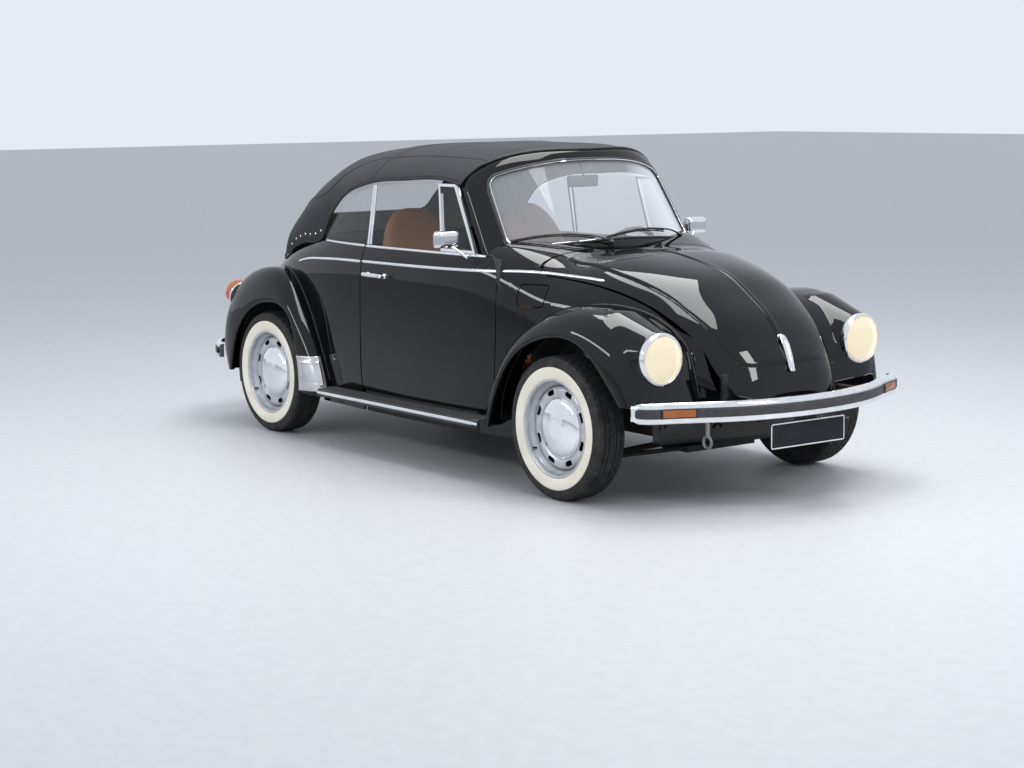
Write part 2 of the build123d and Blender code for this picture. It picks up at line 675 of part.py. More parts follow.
# ---------------------------------------------------------------- lamps
with BuildPart() as headlight:
    with BuildSketch(Plane.XY):
        with BuildLine():
            Line((1580, 0), (1580, 60))
            Line((1580, 60), (1640, 100))
            Line((1640, 100), (1672, HEADLIGHT_RADIUS - 4))
            Line((1672, HEADLIGHT_RADIUS - 4), (1690, HEADLIGHT_RADIUS))
            Line((1690, HEADLIGHT_RADIUS), (1700, 98))
            Spline((1700, 98), (1715, 55), (1722, 0), tangents=[(0.4, -1), (0, -1)])
            Line((1722, 0), (1580, 0))
        make_face()
    revolve(axis=Axis.X)
lamp_place = Location((0, HEADLIGHT_Y, HEADLIGHT_Z))
write(both_sides(headlight.part.moved(lamp_place)), "headlights")

with BuildPart() as tail_light:
    with BuildSketch(Plane(origin=TAIL_LIGHT_BASE, z_dir=TAIL_LIGHT_DIR)):
        Circle(TAIL_LIGHT_RADIUS)
    extrude(amount=TAIL_LIGHT_LENGTH)
    fillet(tail_light.faces().sort_by(Axis.X)[0].edges(), 26)
write(both_sides(tail_light), "tail_lights")

# ---------------------------------------------------------------- bumpers and plates
FRONT_BUMPER = [(0, 0), (-22, 230), (-85, 430), (-190, 640), (-245, 735), (-300, 766)]
REAR_BUMPER = [(0, 0), (15, 250), (60, 470), (140, 660), (210, 735), (290, 762)]


def bumper_bar(tip_x, bends, z, inwards):
    """An upright blade along a plan curve, BUMPER_DEPTH thick towards the car."""
    with BuildPart() as bar:
        with BuildSketch(Plane.XY.offset(z[0])):
            with BuildLine():
                half = [(tip_x + x, y) for x, y in bends]
                other = [(x, -y) for x, y in reversed(half[1:])]
                inner_half = [(x + inwards * (1 - y / 900), max(y - 0.035 * y, 0)) for x, y in half]
                inner_other = [(x, -y) for x, y in reversed(inner_half[1:])]
                Spline(*other, *half)
                Line(half[-1], inner_half[-1])
                Spline(*reversed(inner_half), *reversed(inner_other))
                Line(inner_other[0], other[0])
            make_face()
        extrude(amount=z[1] - z[0])
    return bar.part


FRONT_BUMPER_Z = (388, 476)
REAR_BUMPER_Z = (325, 418)
front_bar = bumper_bar(FRONT_X, FRONT_BUMPER, FRONT_BUMPER_Z, -BUMPER_DEPTH)
FRONT_PLATE_X = 1950
carrier = block((FRONT_PLATE_X - 25, FRONT_PLATE_X - TOUCH), (-60, 60), (280, 410))
carrier = carrier + block((FRONT_PLATE_X - 25, FRONT_X - 15), (-60, 60), (398, 412))
tow_hole = rod((1800, 400, 290), (1800, 470, 290), 14)
tow_ring = rod((1800, 422, 290), (1800, 434, 290), 30)
tow_stem = block((1790, 1810), (422, 434), (300, 420))
tow_eye = (tow_ring + tow_stem) - tow_hole
front_bumper = front_bar + carrier + bracket + bracket.mirror(Plane.XZ) + tow_eye.mirror(Plane.XZ)
write(front_bumper, "front_bumper")
front_plate_z = (253, 253 + PLATE_SIZE)
front_plate = block((FRONT_PLATE_X, FRONT_PLATE_X + PLATE_SHEET), (-PLATE_HALF, PLATE_HALF), front_plate_z)
write(front_plate, "front_plate")

rear_bar = bumper_bar(REAR_X, REAR_BUMPER, REAR_BUMPER_Z, BUMPER_DEPTH)
rear_arm = block((REAR_X + 20, -1790), (360, 384), (350, 395)) - form_clear
rear_arm = rear_arm.solids().sort_by(Axis.X)[0]
rear_bumper = rear_bar + rear_arm + rear_arm.mirror(Plane.XZ)
write(rear_bumper, "rear_bumper")

# ---------------------------------------------------------------- cabin
dashboard = block((655, 770), (-560, 560), (770, 925)) & inner
write(dashboard, "dashboard")

SEAT_Y = 345
SEAT_BACK_LEAN = 20
with BuildPart() as front_seat:
    with BuildSketch(Plane.XY.offset(FLOOR_TOP + TOUCH)):
        with Locations((10, SEAT_Y)):
            Rectangle(420, 380)
    extrude(amount=385 - FLOOR_TOP - TOUCH)
    with BuildSketch(Plane.XY.offset(385)):
        with Locations((20, SEAT_Y)):
            RectangleRounded(520, 490, 60)
    extrude(amount=125)
    back_way = (cos(radians(SEAT_BACK_LEAN)), 0, sin(radians(SEAT_BACK_LEAN)))
    seat_back = Plane(origin=(-215, SEAT_Y, 440), x_dir=(0, 1, 0), z_dir=back_way)
    with BuildSketch(seat_back):
        with BuildLine():
            Line((-235, 0), (235, 0))
            Line((235, 0), (215, 520))
            ThreePointArc((215, 520), (0, 770), (-215, 520))
            Line((-215, 520), (-235, 0))
        make_face()
    extrude(amount=50, both=True)
write(both_sides(front_seat), "front_seats")

REAR_SEAT_SIDE = [
    (-640, TUNNEL_TOP_Z + TOUCH),
    (-620, 460),
    (-900, 500),
    (-1000, 850),
    (-1090, 850),
    (-1050, TUNNEL_TOP_Z + TOUCH),
]
with BuildPart() as rear_seat:
    with BuildSketch(side_plane(500)):
        with BuildLine():
            Polyline(*REAR_SEAT_SIDE, close=True)
        make_face()
        fillet(vertices().group_by(Axis.Y)[-1], 30)
    extrude(amount=1000)
write(rear_seat, "rear_seat")

WHEEL_CENTRE = (350, SEAT_Y, 900)
COLUMN_TILT = 25
column_dir = Vector(-cos(radians(COLUMN_TILT)), 0, sin(radians(COLUMN_TILT)))
wheel_plane = Plane(origin=WHEEL_CENTRE, x_dir=(0, 1, 0), z_dir=column_dir)
with BuildPart() as steering_wheel:
    with BuildSketch(wheel_plane):
        Circle(38)
        with PolarLocations(0, 4, start_angle=20):
            with Locations((STEERING_WHEEL_RADIUS / 2, 0)):
                Rectangle(STEERING_WHEEL_RADIUS, 22)
    extrude(amount=8, both=True)
    with BuildSketch(Plane(origin=WHEEL_CENTRE, x_dir=(0, 1, 0), z_dir=column_dir.cross(Vector(0, 1, 0)))):
        with Locations((STEERING_WHEEL_RADIUS, 0)):
            Circle(14)
    revolve(axis=Axis(origin=WHEEL_CENTRE, direction=column_dir))
write(steering_wheel, "steering_wheel")
centre = Vector(*WHEEL_CENTRE)
column_top = centre - column_dir * (8 + TOUCH)
column_end = centre - column_dir * 330
column = rod(column_top, column_end, 24)
column_hanger = block((column_end.X - 40, BULKHEAD_X - 12 - TOUCH), (SEAT_Y - 20, SEAT_Y + 20), (735, 765))
steering_column = (column + column_hanger) - dashboard
write(steering_column.solids().sort_by(SortBy.VOLUME)[-1], "steering_column")

# ---------------------------------------------------------------- engine, axles, exhaust
ENGINE_X = (-1790, -1430)
ENGINE_HALF = 340
ENGINE_Z = (285, 620)
with BuildPart() as engine:
    with Locations((ENGINE_X[0], -ENGINE_HALF, ENGINE_Z[0])):
        Box(
            ENGINE_X[1] - ENGINE_X[0],
            2 * ENGINE_HALF,
            ENGINE_Z[1] - ENGINE_Z[0],
            align=(Align.MIN, Align.MIN, Align.MIN),
        )
write(engine, "engine")

GEARBOX_X = (ENGINE_X[1] + TOUCH, FIREWALL_X - 16 - TOUCH)
GEARBOX_HALF = 110
GEARBOX_Z = (235, 400)
DRUM_WIDTH = 22 - TOUCH
drum_y = REAR_WHEEL_Y - DRUM_BACK - TOUCH
with BuildPart() as rear_axle:
    with Locations((GEARBOX_X[0], -GEARBOX_HALF, GEARBOX_Z[0])):
        Box(
            GEARBOX_X[1] - GEARBOX_X[0],
            2 * GEARBOX_HALF,
            GEARBOX_Z[1] - GEARBOX_Z[0],
            align=(Align.MIN, Align.MIN, Align.MIN),
        )
    with Locations((REAR_AXLE_X, 0, AXLE_Z)):
        Cylinder(AXLE_TUBE_RADIUS, 2 * (drum_y - DRUM_WIDTH / 2), rotation=(90, 0, 0))
    with Locations(
        (REAR_AXLE_X, drum_y - DRUM_WIDTH / 2, AXLE_Z),
        (REAR_AXLE_X, DRUM_WIDTH / 2 - drum_y, AXLE_Z),
    ):
        Cylinder(DRUM_RADIUS, DRUM_WIDTH, rotation=(90, 0, 0))
write(rear_axle, "rear_axle")

MUFFLER = (-1875, 268, 54)
muffler = rod((MUFFLER[0], -330, MUFFLER[1]), (MUFFLER[0], 330, MUFFLER[1]), MUFFLER[2])
for side in (-1, 1):
    muffler = muffler + rod((MUFFLER[0], side * 190, MUFFLER[1] + 10), (REAR_X + 40, side * 190, 262), 16)
    muffler = muffler + rod((MUFFLER[0], side * 250, 290), (ENGINE_X[0] - 2, side * 250, 300), 22)
write(muffler, "exhaust")

kingpin_low = Vector(FRONT_AXLE_X, *KINGPIN_LOW)
kingpin_top = Vector(FRONT_AXLE_X, *KINGPIN_TOP)
kingpin_dir = (kingpin_top - kingpin_low).normalized()
kingpin_slope = (KINGPIN_TOP[0] - KINGPIN_LOW[0]) / (KINGPIN_TOP[1] - KINGPIN_LOW[1])
hub_y = KINGPIN_LOW[0] + (AXLE_Z - KINGPIN_LOW[1]) * kingpin_slope
front_drum_y = FRONT_WHEEL_Y - DRUM_BACK
knuckle = rod(kingpin_low, kingpin_top, 18)
knuckle = knuckle + rod((FRONT_AXLE_X, hub_y, AXLE_Z), (FRONT_AXLE_X, front_drum_y - 4, AXLE_Z), 40)
knuckle = knuckle + rod(
    (FRONT_AXLE_X, front_drum_y - 10, AXLE_Z), (FRONT_AXLE_X, front_drum_y - TOUCH, AXLE_Z), DRUM_RADIUS
)
knuckle = knuckle + rod(kingpin_top - kingpin_dir * 175, kingpin_top - kingpin_dir * 12, 50)
write_pair(knuckle, "knuckle")

top_mount = rod(kingpin_top + kingpin_dir * TOUCH, kingpin_top + kingpin_dir * 6, 34)
arm_boss = rod(kingpin_low - kingpin_dir * TOUCH, kingpin_low - kingpin_dir * 26, 26)
arm_end = kingpin_low - kingpin_dir * 20
arm = rod((FRONT_AXLE_X, 120, 185), arm_end, 14) + rod((FRONT_AXLE_X + 190, 180, 190), arm_end, 10)
cross_beam = block((FRONT_AXLE_X - 45, FRONT_AXLE_X + 45), (-150, 150), (172, FLOOR_Z - TOUCH))
cross_beam = cross_beam + block((FRONT_AXLE_X + 40, FRONT_AXLE_X + 210), (-200, 200), (172, FLOOR_Z - TOUCH))
lower = arm_boss + arm
front_suspension = cross_beam + lower + lower.mirror(Plane.XZ)
mounts = both_sides(top_mount)
write(Compound(children=[*front_suspension.solids(), *mounts.solids()]), "front_suspension")

# ---------------------------------------------------------------- wheels
half_rim = RIM_WIDTH / 2
RIM_PROFILE = [
    (RIM_RADIUS, half_rim),
    (RIM_RADIUS, half_rim - 6),
    (RIM_RADIUS - 18, half_rim - 12),
    (RIM_RADIUS - 24, 22),
    (RIM_RADIUS - 24, -22),
    (RIM_RADIUS - 18, 12 - half_rim),
    (RIM_RADIUS, 6 - half_rim),
    (RIM_RADIUS, -half_rim),
    (RIM_RADIUS - 8, -half_rim),
    (RIM_RADIUS - 26, 16 - half_rim),
    (RIM_RADIUS - 32, -18),
    (RIM_RADIUS - 32, 6),
    (HUB_CAP_RADIUS - 4, 20),
    (DRUM_RADIUS, 4),
    (DRUM_RADIUS, -DRUM_BACK),
    (0, -DRUM_BACK),
    (0, 66),
]
DISC_FACE = [(RIM_RADIUS - 32, 16), (RIM_RADIUS - 26, half_rim - 16), (RIM_RADIUS - 8, half_rim)]
SLOTS = 8
with BuildPart() as wheel:
    with BuildSketch(Plane.XY):
        with BuildLine():
            cap = ThreePointArc((0, 66), (70, 56), (HUB_CAP_RADIUS, 30))
            Polyline(cap @ 1, *DISC_FACE, RIM_PROFILE[0])
            Polyline(*RIM_PROFILE)
        make_face()
    revolve(axis=Axis.Y)
    with BuildSketch(Plane(origin=(0, 60, 0), x_dir=(1, 0, 0), z_dir=(0, -1, 0))):
        with PolarLocations((RIM_RADIUS + HUB_CAP_RADIUS) / 2 - 14, SLOTS):
            SlotOverall(34, 15, rotation=90)
    extrude(amount=70, mode=Mode.SUBTRACT)
half_tyre = TYRE_WIDTH / 2
with BuildPart() as tyre:
    with BuildSketch(Plane.XY):
        with BuildLine():
            bead = RIM_RADIUS + TOUCH
            right_wall = Spline(
                (bead, half_tyre - 14),
                (bead + 50, half_tyre),
                (TYRE_RADIUS - 16, half_tyre - 8),
                (TYRE_RADIUS, half_tyre - 26),
            )
            left_wall = Spline(
                (bead, 14 - half_tyre),
                (bead + 50, -half_tyre),
                (TYRE_RADIUS - 16, 8 - half_tyre),
                (TYRE_RADIUS, 26 - half_tyre),
            )
            Line(right_wall @ 1, left_wall @ 1)
            Line(left_wall @ 0, right_wall @ 0)
        make_face()
    revolve(axis=Axis.Y)
for axle, axle_x, wheel_y in (("front", FRONT_AXLE_X, FRONT_WHEEL_Y), ("rear", REAR_AXLE_X, REAR_WHEEL_Y)):
    place = Location((axle_x, wheel_y, AXLE_Z))
    write_pair(wheel.part.moved(place), f"{axle}_wheel")
    write_pair(tyre.part.moved(place), f"{axle}_tyre")

# ---------------------------------------------------------------- wipers
wiper_layer = screen_layer(9, 8)


def wiper(pivot_y, tip_y, low_z):
    """One parked wiper blade with its arm, seen from the front as a thin bar."""
    with BuildPart() as bar:
        with BuildSketch(cross_plane(0)):
            with BuildLine():
                Polyline((pivot_y - 9, low_z - 22), (pivot_y + 9, low_z - 22), (pivot_y + 9, low_z + 14),
                         (tip_y, low_z + 14), (tip_y, low_z + 2), (pivot_y - 9, low_z), close=True)
            make_face()
        extrude(amount=1000)
    return (bar.part & wiper_layer) - form_clear


wipers = [*wiper(-90, -500, 1052).solids(), *wiper(370, -30, 1052).solids()]
write(Compound(children=wipers), "wipers")
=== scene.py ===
"""A classic compact convertible with its hood up: panels, trim, glass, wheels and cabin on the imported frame.

Shapes are worked out in the design's own millimetres: +X forwards, +Y to the car's left, +Z up, x zero midway
between the axles. Each finished mesh is then put in the row frame, in metres.
"""

import math

import bmesh
import bpy
import numpy as np
from mathutils import Matrix, Vector


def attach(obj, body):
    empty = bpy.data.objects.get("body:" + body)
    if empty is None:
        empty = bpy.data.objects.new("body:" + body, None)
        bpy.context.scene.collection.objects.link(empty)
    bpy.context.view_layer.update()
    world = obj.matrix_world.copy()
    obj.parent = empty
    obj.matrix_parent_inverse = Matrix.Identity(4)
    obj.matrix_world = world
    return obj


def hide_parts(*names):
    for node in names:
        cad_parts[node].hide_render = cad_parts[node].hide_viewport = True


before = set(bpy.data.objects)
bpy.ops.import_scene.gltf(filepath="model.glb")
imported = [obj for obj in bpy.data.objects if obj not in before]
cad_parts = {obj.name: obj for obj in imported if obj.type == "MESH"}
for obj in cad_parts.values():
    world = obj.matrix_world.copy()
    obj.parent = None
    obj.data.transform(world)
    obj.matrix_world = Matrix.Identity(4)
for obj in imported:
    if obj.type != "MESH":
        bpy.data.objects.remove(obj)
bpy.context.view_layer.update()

MM = 0.001
SHIFT = 50.0  # the design's x zero stands this far behind the row frame's
SIDES = {"left": 1, "right": -1}
FRONT_AXLE = (1210.0, 310.0)  # x, z
REAR_AXLE = (-1210.0, 310.0)
FRONT_WHEEL_Y = 698.0
REAR_WHEEL_Y = 675.0

# ---------------------------------------------------------------- curves and forms


def natural(knots, values):
    """The smooth curve that takes these values at these increasing knots."""
    knots = np.asarray(knots, float)
    values = np.asarray(values, float)
    count = len(knots)
    gaps = np.diff(knots)
    matrix = np.eye(count)
    wanted = np.zeros(values.shape)
    for i in range(1, count - 1):
        matrix[i, i - 1 : i + 2] = gaps[i - 1], 2 * (gaps[i - 1] + gaps[i]), gaps[i]
        rise = (values[i + 1] - values[i]) / gaps[i] - (values[i] - values[i - 1]) / gaps[i - 1]
        wanted[i] = 6 * rise
    bend = np.linalg.solve(matrix, wanted)

    def at(t):
        t = np.clip(np.asarray(t, float), knots[0], knots[-1])
        i = np.clip(np.searchsorted(knots, t) - 1, 0, count - 2)
        width = gaps[i]
        a = ((knots[i + 1] - t) / width)[..., None]
        b = 1 - a
        square = (width**2 / 6)[..., None]
        bulge = ((a**3 - a) * bend[i] + (b**3 - b) * bend[i + 1]) * square
        return a * values[i] + b * values[i + 1] + bulge

    return at


def chord(points):
    """How far along its run each of the points stands, from 0 to 1."""
    points = np.asarray(points, float)
    steps = np.linalg.norm(np.diff(points, axis=0), axis=1)
    return np.concatenate([[0], np.cumsum(steps)]) / steps.sum()


def smooth(points):
    """A smooth curve through points, followed from 0 to 1."""
    return natural(chord(points), points)


def straight(points):
    """A run of straight pieces through points, followed from 0 to 1."""
    points = np.asarray(points, float)
    knots = chord(points)
    return lambda t: np.stack([np.interp(t, knots, column) for column in points.T], axis=-1)


def between(bottom, top, left, right):
    """The even filling of four edge curves: u runs along bottom and top, v along left and right."""

    def at(u, v):
        a, b = u[:, None], v[:, None]
        zero, one = np.zeros(1), np.ones(1)
        corners = (1 - a) * (1 - b) * bottom(zero) + a * (1 - b) * bottom(one)
        corners = corners + (1 - a) * b * top(zero) + a * b * top(one)
        return (1 - b) * bottom(u) + b * top(u) + (1 - a) * left(v) + a * right(v) - corners

    return at


BODY_STATIONS = [
    (-1965, 215, 410, 452, 370, 2.6),
    (-1935, 285, 425, 530, 350, 2.7),
    (-1870, 365, 445, 650, 330, 2.8),
    (-1750, 445, 480, 785, 300, 3.0),
    (-1600, 515, 520, 882, 250, 3.4),
    (-1420, 570, 560, 950, 220, 4.0),
    (-1225, 618, 590, 1000, 205, 4.8),
    (-1000, 655, 600, 1050, 200, 5.2),
    (-700, 688, 600, 1095, 200, 5.4),
    (-350, 705, 600, 1115, 200, 5.5),
    (0, 713, 600, 1118, 200, 5.4),
    (350, 708, 600, 1112, 200, 5.4),
    (600, 690, 600, 1080, 200, 5.2),
    (780, 655, 600, 1035, 205, 4.4),
    (926, 622, 600, 1008, 215, 3.6),
    (1060, 594, 600, 1009, 230, 3.2),
    (1211, 555, 595, 991, 250, 3.0),
    (1370, 490, 575, 957, 270, 2.9),
    (1500, 448, 555, 908, 290, 2.8),
    (1611, 415, 530, 839, 310, 2.7),
    (1725, 358, 490, 750, 330, 2.6),
    (1800, 300, 455, 655, 345, 2.6),
    (1852, 236, 425, 547, 355, 2.6),
    (1872, 190, 410, 470, 365, 2.6),
]
HOOD_STATIONS = [
    (620, 652, 990, 1432, 900, 2.85),
    (480, 656, 990, 1466, 900, 2.85),
    (288, 660, 990, 1487, 900, 2.95),
    (0, 660, 990, 1491, 900, 3.1),
    (-356, 650, 985, 1484, 890, 3.3),
    (-620, 630, 970, 1468, 880, 3.3),
    (-793, 612, 960, 1450, 870, 3.2),
    (-1000, 592, 945, 1393, 860, 3.0),
    (-1150, 572, 930, 1312, 850, 2.9),
    (-1300, 545, 905, 1195, 830, 2.8),
    (-1410, 505, 880, 1075, 800, 2.7),
    (-1480, 440, 850, 965, 780, 2.6),
]


class Form:
    """A long rounded body through cross sections, as the design's lofts make it."""

    def __init__(self, stations):
        rows = np.array(sorted(stations), float)
        self.row = natural(rows[:, 0], rows[:, 1:])

    def excess(self, points):
        """Above zero outside the form and below zero inside it."""
        x, y, z = points.T
        width, wide, top, low, square = self.row(x).T
        down = np.clip((wide - z) / (wide - low), 0, None)
        up = np.clip((z - wide) / (top - wide), 0, None)
        return (np.abs(y) / (width * (1 - 0.03 * down**2))) ** square + up**square - 1

    def reach(self, start, way, far=1000.0):
        """Where rays from points inside the form leave it."""
        start = np.asarray(start, float)
        near = np.zeros(len(start))
        beyond = np.full(len(start), far)
        for _ in range(36):
            middle = (near + beyond) / 2
            outside = self.excess(start + way * middle[:, None]) > 0
            beyond = np.where(outside, middle, beyond)
            near = np.where(outside, near, middle)
        return start + way * near[:, None]

    def beside(self, x, z, side):
        """The skin at x and z on one side."""
        zero = np.zeros_like(x)
        return self.reach(np.stack([x, zero, z], 1), np.array([0.0, side, 0.0]))

    def above(self, x, y):
        """The skin over x and y."""
        wide = self.row(x)[:, 1]
        return self.reach(np.stack([x, y, wide], 1), np.array([0.0, 0.0, 1.0]))

    def around(self, x, turn, side):
        """The skin at x, seen from the height of the greatest width at an angle above level."""
        _, wide, _, low, _ = self.row(x).T
        angle = np.radians(np.clip(turn, 0, 90))
        start = np.stack([x, np.zeros_like(x), wide + np.clip(turn, -90, 0) / 90 * (wide - low)], 1)
        way = np.stack([np.zeros_like(x), side * np.cos(angle), np.sin(angle)], 1)
        return self.reach(start, way)

    def turn_beside(self, x, z):
        """The angle at which around() finds the skin at x and z."""
        x, z = np.asarray(x, float), np.asarray(z, float)
        _, wide, _, low, _ = self.row(x).T
        y = self.beside(x, z, 1.0)[:, 1]
        upper = np.degrees(np.arctan2(z - wide, y))
        return np.where(z < wide, (z - wide) / (wide - low) * 90, upper)

    def turn_above(self, x, y):
        """The angle at which around() finds the skin over x and y."""
        x, y = np.asarray(x, float), np.asarray(y, float)
        z = self.above(x, y)[:, 2]
        return np.degrees(np.arctan2(z - self.row(x)[:, 1], y))

    def outward(self, points):
        """Unit directions straight out of the skin."""
        step = 0.5
        slopes = []
        for axis in np.eye(3):
            slopes.append(self.excess(points + axis * step) - self.excess(points - axis * step))
        way = np.stack(slopes, 1)
        return way / np.linalg.norm(way, axis=1)[:, None]


body_form = Form(BODY_STATIONS)
hood_form = Form(HOOD_STATIONS)

# ---------------------------------------------------------------- making pieces


def patch(bm, across, along, place):
    """Adds a grid of faces whose corners go where place(u, v) says, both from 0 to 1."""
    made = bmesh.ops.create_grid(bm, x_segments=across, y_segments=along, size=0.5)["verts"]
    flat = np.array([v.co for v in made]) + 0.5
    for vert, point in zip(made, place(flat[:, 0], flat[:, 1])):
        vert.co = point
    return made


def face_from(bm, centre):
    """Turns an open sheet's faces away from a point."""
    bm.normal_update()
    total = sum(f.normal.dot(f.calc_center_median() - Vector(centre)) * f.calc_area() for f in bm.faces)
    if total < 0:
        bmesh.ops.reverse_faces(bm, faces=bm.faces)


def tidy(bm, distance=0.05):
    """Merges corners that stand closer than a distance."""
    bmesh.ops.remove_doubles(bm, verts=bm.verts, dist=distance)
    return bm


def close_up(bm):
    """Merges doubles and turns a closed shell's faces outwards."""
    tidy(bm)
    bmesh.ops.recalc_face_normals(bm, faces=bm.faces)
    return bm


def piece(name, bm, finish, body, replaces=(), slot=None, wall=0.0, edge=0.0, rounds=0, crisp=40,
          lined=False):
    """Makes the finished object of a mesh in design millimetres, riding on a body.

    The inner side of a lined wall has the second finish.
    """
    place = Matrix.Diagonal((MM, MM, MM, 1)) @ Matrix.Translation((SHIFT, 0, 0))
    bmesh.ops.transform(bm, matrix=place, verts=bm.verts)
    mesh = bpy.data.meshes.new(name)
    for f in bm.faces:
        f.smooth = True
    bm.to_mesh(mesh)
    bm.free()
    for one in finish if isinstance(finish, (list, tuple)) else [finish]:
        mesh.materials.append(one)
    if not edge:
        mesh.set_sharp_from_angle(angle=math.radians(crisp))
    made = bpy.data.objects.new(name, mesh)
    bpy.context.scene.collection.objects.link(made)
    if wall:
        solid = made.modifiers.new("wall", "SOLIDIFY")
        solid.thickness = wall * MM
        solid.offset = -1
        solid.use_quality_normals = True
        solid.material_offset = int(lined)
    if edge:
        bevel = made.modifiers.new("edge", "BEVEL")
        bevel.width = edge * MM
        bevel.segments = 2
        bevel.limit_method = "ANGLE"
        bevel.angle_limit = math.radians(crisp)
        bevel.harden_normals = True
    if rounds:
        soft = made.modifiers.new("round", "SUBSURF")
        soft.levels = rounds
        soft.render_levels = rounds
    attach(made, body)
    if replaces:
        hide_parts(*replaces)
    return made


def cap_ends(bm):
    """Closes the open ends of a swept bar."""
    rim = [e for e in bm.edges if e.is_boundary]
    if rim:
        bmesh.ops.holes_fill(bm, edges=rim, sides=0)


def mirrored(bm):
    """Adds the mirror image across the car's middle plane."""
    copy = bmesh.ops.duplicate(bm, geom=bm.verts[:] + bm.edges[:] + bm.faces[:])["geom"]
    faces = [g for g in copy if isinstance(g, bmesh.types.BMFace)]
    verts = [g for g in copy if isinstance(g, bmesh.types.BMVert)]
    bmesh.ops.scale(bm, vec=(1, -1, 1), verts=verts)
    bmesh.ops.reverse_faces(bm, faces=faces)
    return bm


def flipped(bm):
    """The mirror image of a mesh, for the car's other side."""
    bmesh.ops.scale(bm, vec=(1, -1, 1), verts=bm.verts)
    bmesh.ops.reverse_faces(bm, faces=bm.faces)
    return bm


def turned(bm, profile, steps, centre, axis=(0, 1, 0), start=(0, 0, 1)):
    """Adds a turned shape: profile rows are (distance along the axis, radius)."""
    axis, start, centre = Vector(axis).normalized(), Vector(start).normalized(), Vector(centre)
    verts = [bm.verts.new(centre + axis * a + start * r) for a, r in profile]
    edges = [bm.edges.new(pair) for pair in zip(verts, verts[1:])]
    bmesh.ops.spin(bm, geom=verts + edges, cent=centre, axis=axis, angle=math.tau, steps=steps,
                   use_merge=True)
    return bm


def box(bm, low, high, corner=0.0, segments=3):
    """Adds a box between two corners, its edges rounded."""
    low, high = Vector(low), Vector(high)
    place = Matrix.Translation((low + high) / 2) @ Matrix.Diagonal((*(high - low), 1))
    verts = bmesh.ops.create_cube(bm, size=1, matrix=place)["verts"]
    if corner:
        edges = list({e for v in verts for e in v.link_edges})
        bmesh.ops.bevel(bm, geom=edges, offset=corner, offset_type="OFFSET", segments=segments,
                        profile=0.5, affect="EDGES", material=-1)
    return bm


def tube(bm, points, radius, sides=10, closed=False, flat=1.0, up=(0, 0, 1)):
    """Adds a round or flattened bar along points, following them smoothly."""
    points = np.asarray(points, float)
    count = len(points)
    ahead = np.roll(points, -1, 0) - np.roll(points, 1, 0)
    if not closed:
        ahead[0], ahead[-1] = points[1] - points[0], points[-1] - points[-2]
    ahead = ahead / np.linalg.norm(ahead, axis=1)[:, None]
    side = np.cross(ahead, np.asarray(up, float))
    side = side / np.linalg.norm(side, axis=1)[:, None]
    top = np.cross(side, ahead)
    loops = count if closed else count - 1

    def place(u, v):
        i = np.rint(u * loops).astype(int) % count
        angle = (v * math.tau)[:, None]
        return points[i] + radius * (side[i] * np.cos(angle) + top[i] * np.sin(angle) * flat)

    patch(bm, loops, sides, place)
    tidy(bm, 0.01)
    if not closed:
        for loop in (0, -1):
            near = [v for v in bm.verts if (v.co - Vector(points[loop])).length < radius * 1.3 * max(1, flat)]
            rim = [e for e in bm.edges if e.is_boundary and e.verts[0] in near and e.verts[1] in near]
            if rim:
                bmesh.ops.edgeloop_fill(bm, edges=rim)
    return bm


def boxes(name, rows, finish, body="body", both=False, **how):
    """Makes a piece of boxes, each given by two corners, the radius of its edges and their steps."""
    bm = bmesh.new()
    for row in rows:
        box(bm, *row)
    if both:
        mirrored(bm)
    close_up(bm)
    return piece(name, bm, finish, body, **how)


def bead(name, points, radius, sides, finish, slot, closed=False):
    """Makes a round bead along points on the body, closed into a ring or repeated on the car's other side."""
    bm = bmesh.new()
    tube(bm, points, radius, sides, closed)
    if not closed:
        mirrored(bm)
    close_up(bm)
    return piece(name, bm, finish, "body", slot=slot)


def sided(name, bm, side, finish, body, **how):
    """Makes a closed piece that was modelled for the car's left side, mirrored where it is on the right."""
    close_up(bm)
    if side < 0:
        flipped(bm)
    return piece(name, bm, finish, body, **how)


def skin(name, across, along, place, centre, finish, body, both=False, **how):
    """Makes a piece of a grid of faces turned away from a centre, on both sides of the car where both."""
    bm = bmesh.new()
    patch(bm, across, along, place)
    face_from(bm, centre)
    if both:
        mirrored(bm)
    return piece(name, bm, finish, body, **how)


# ---------------------------------------------------------------- finishes


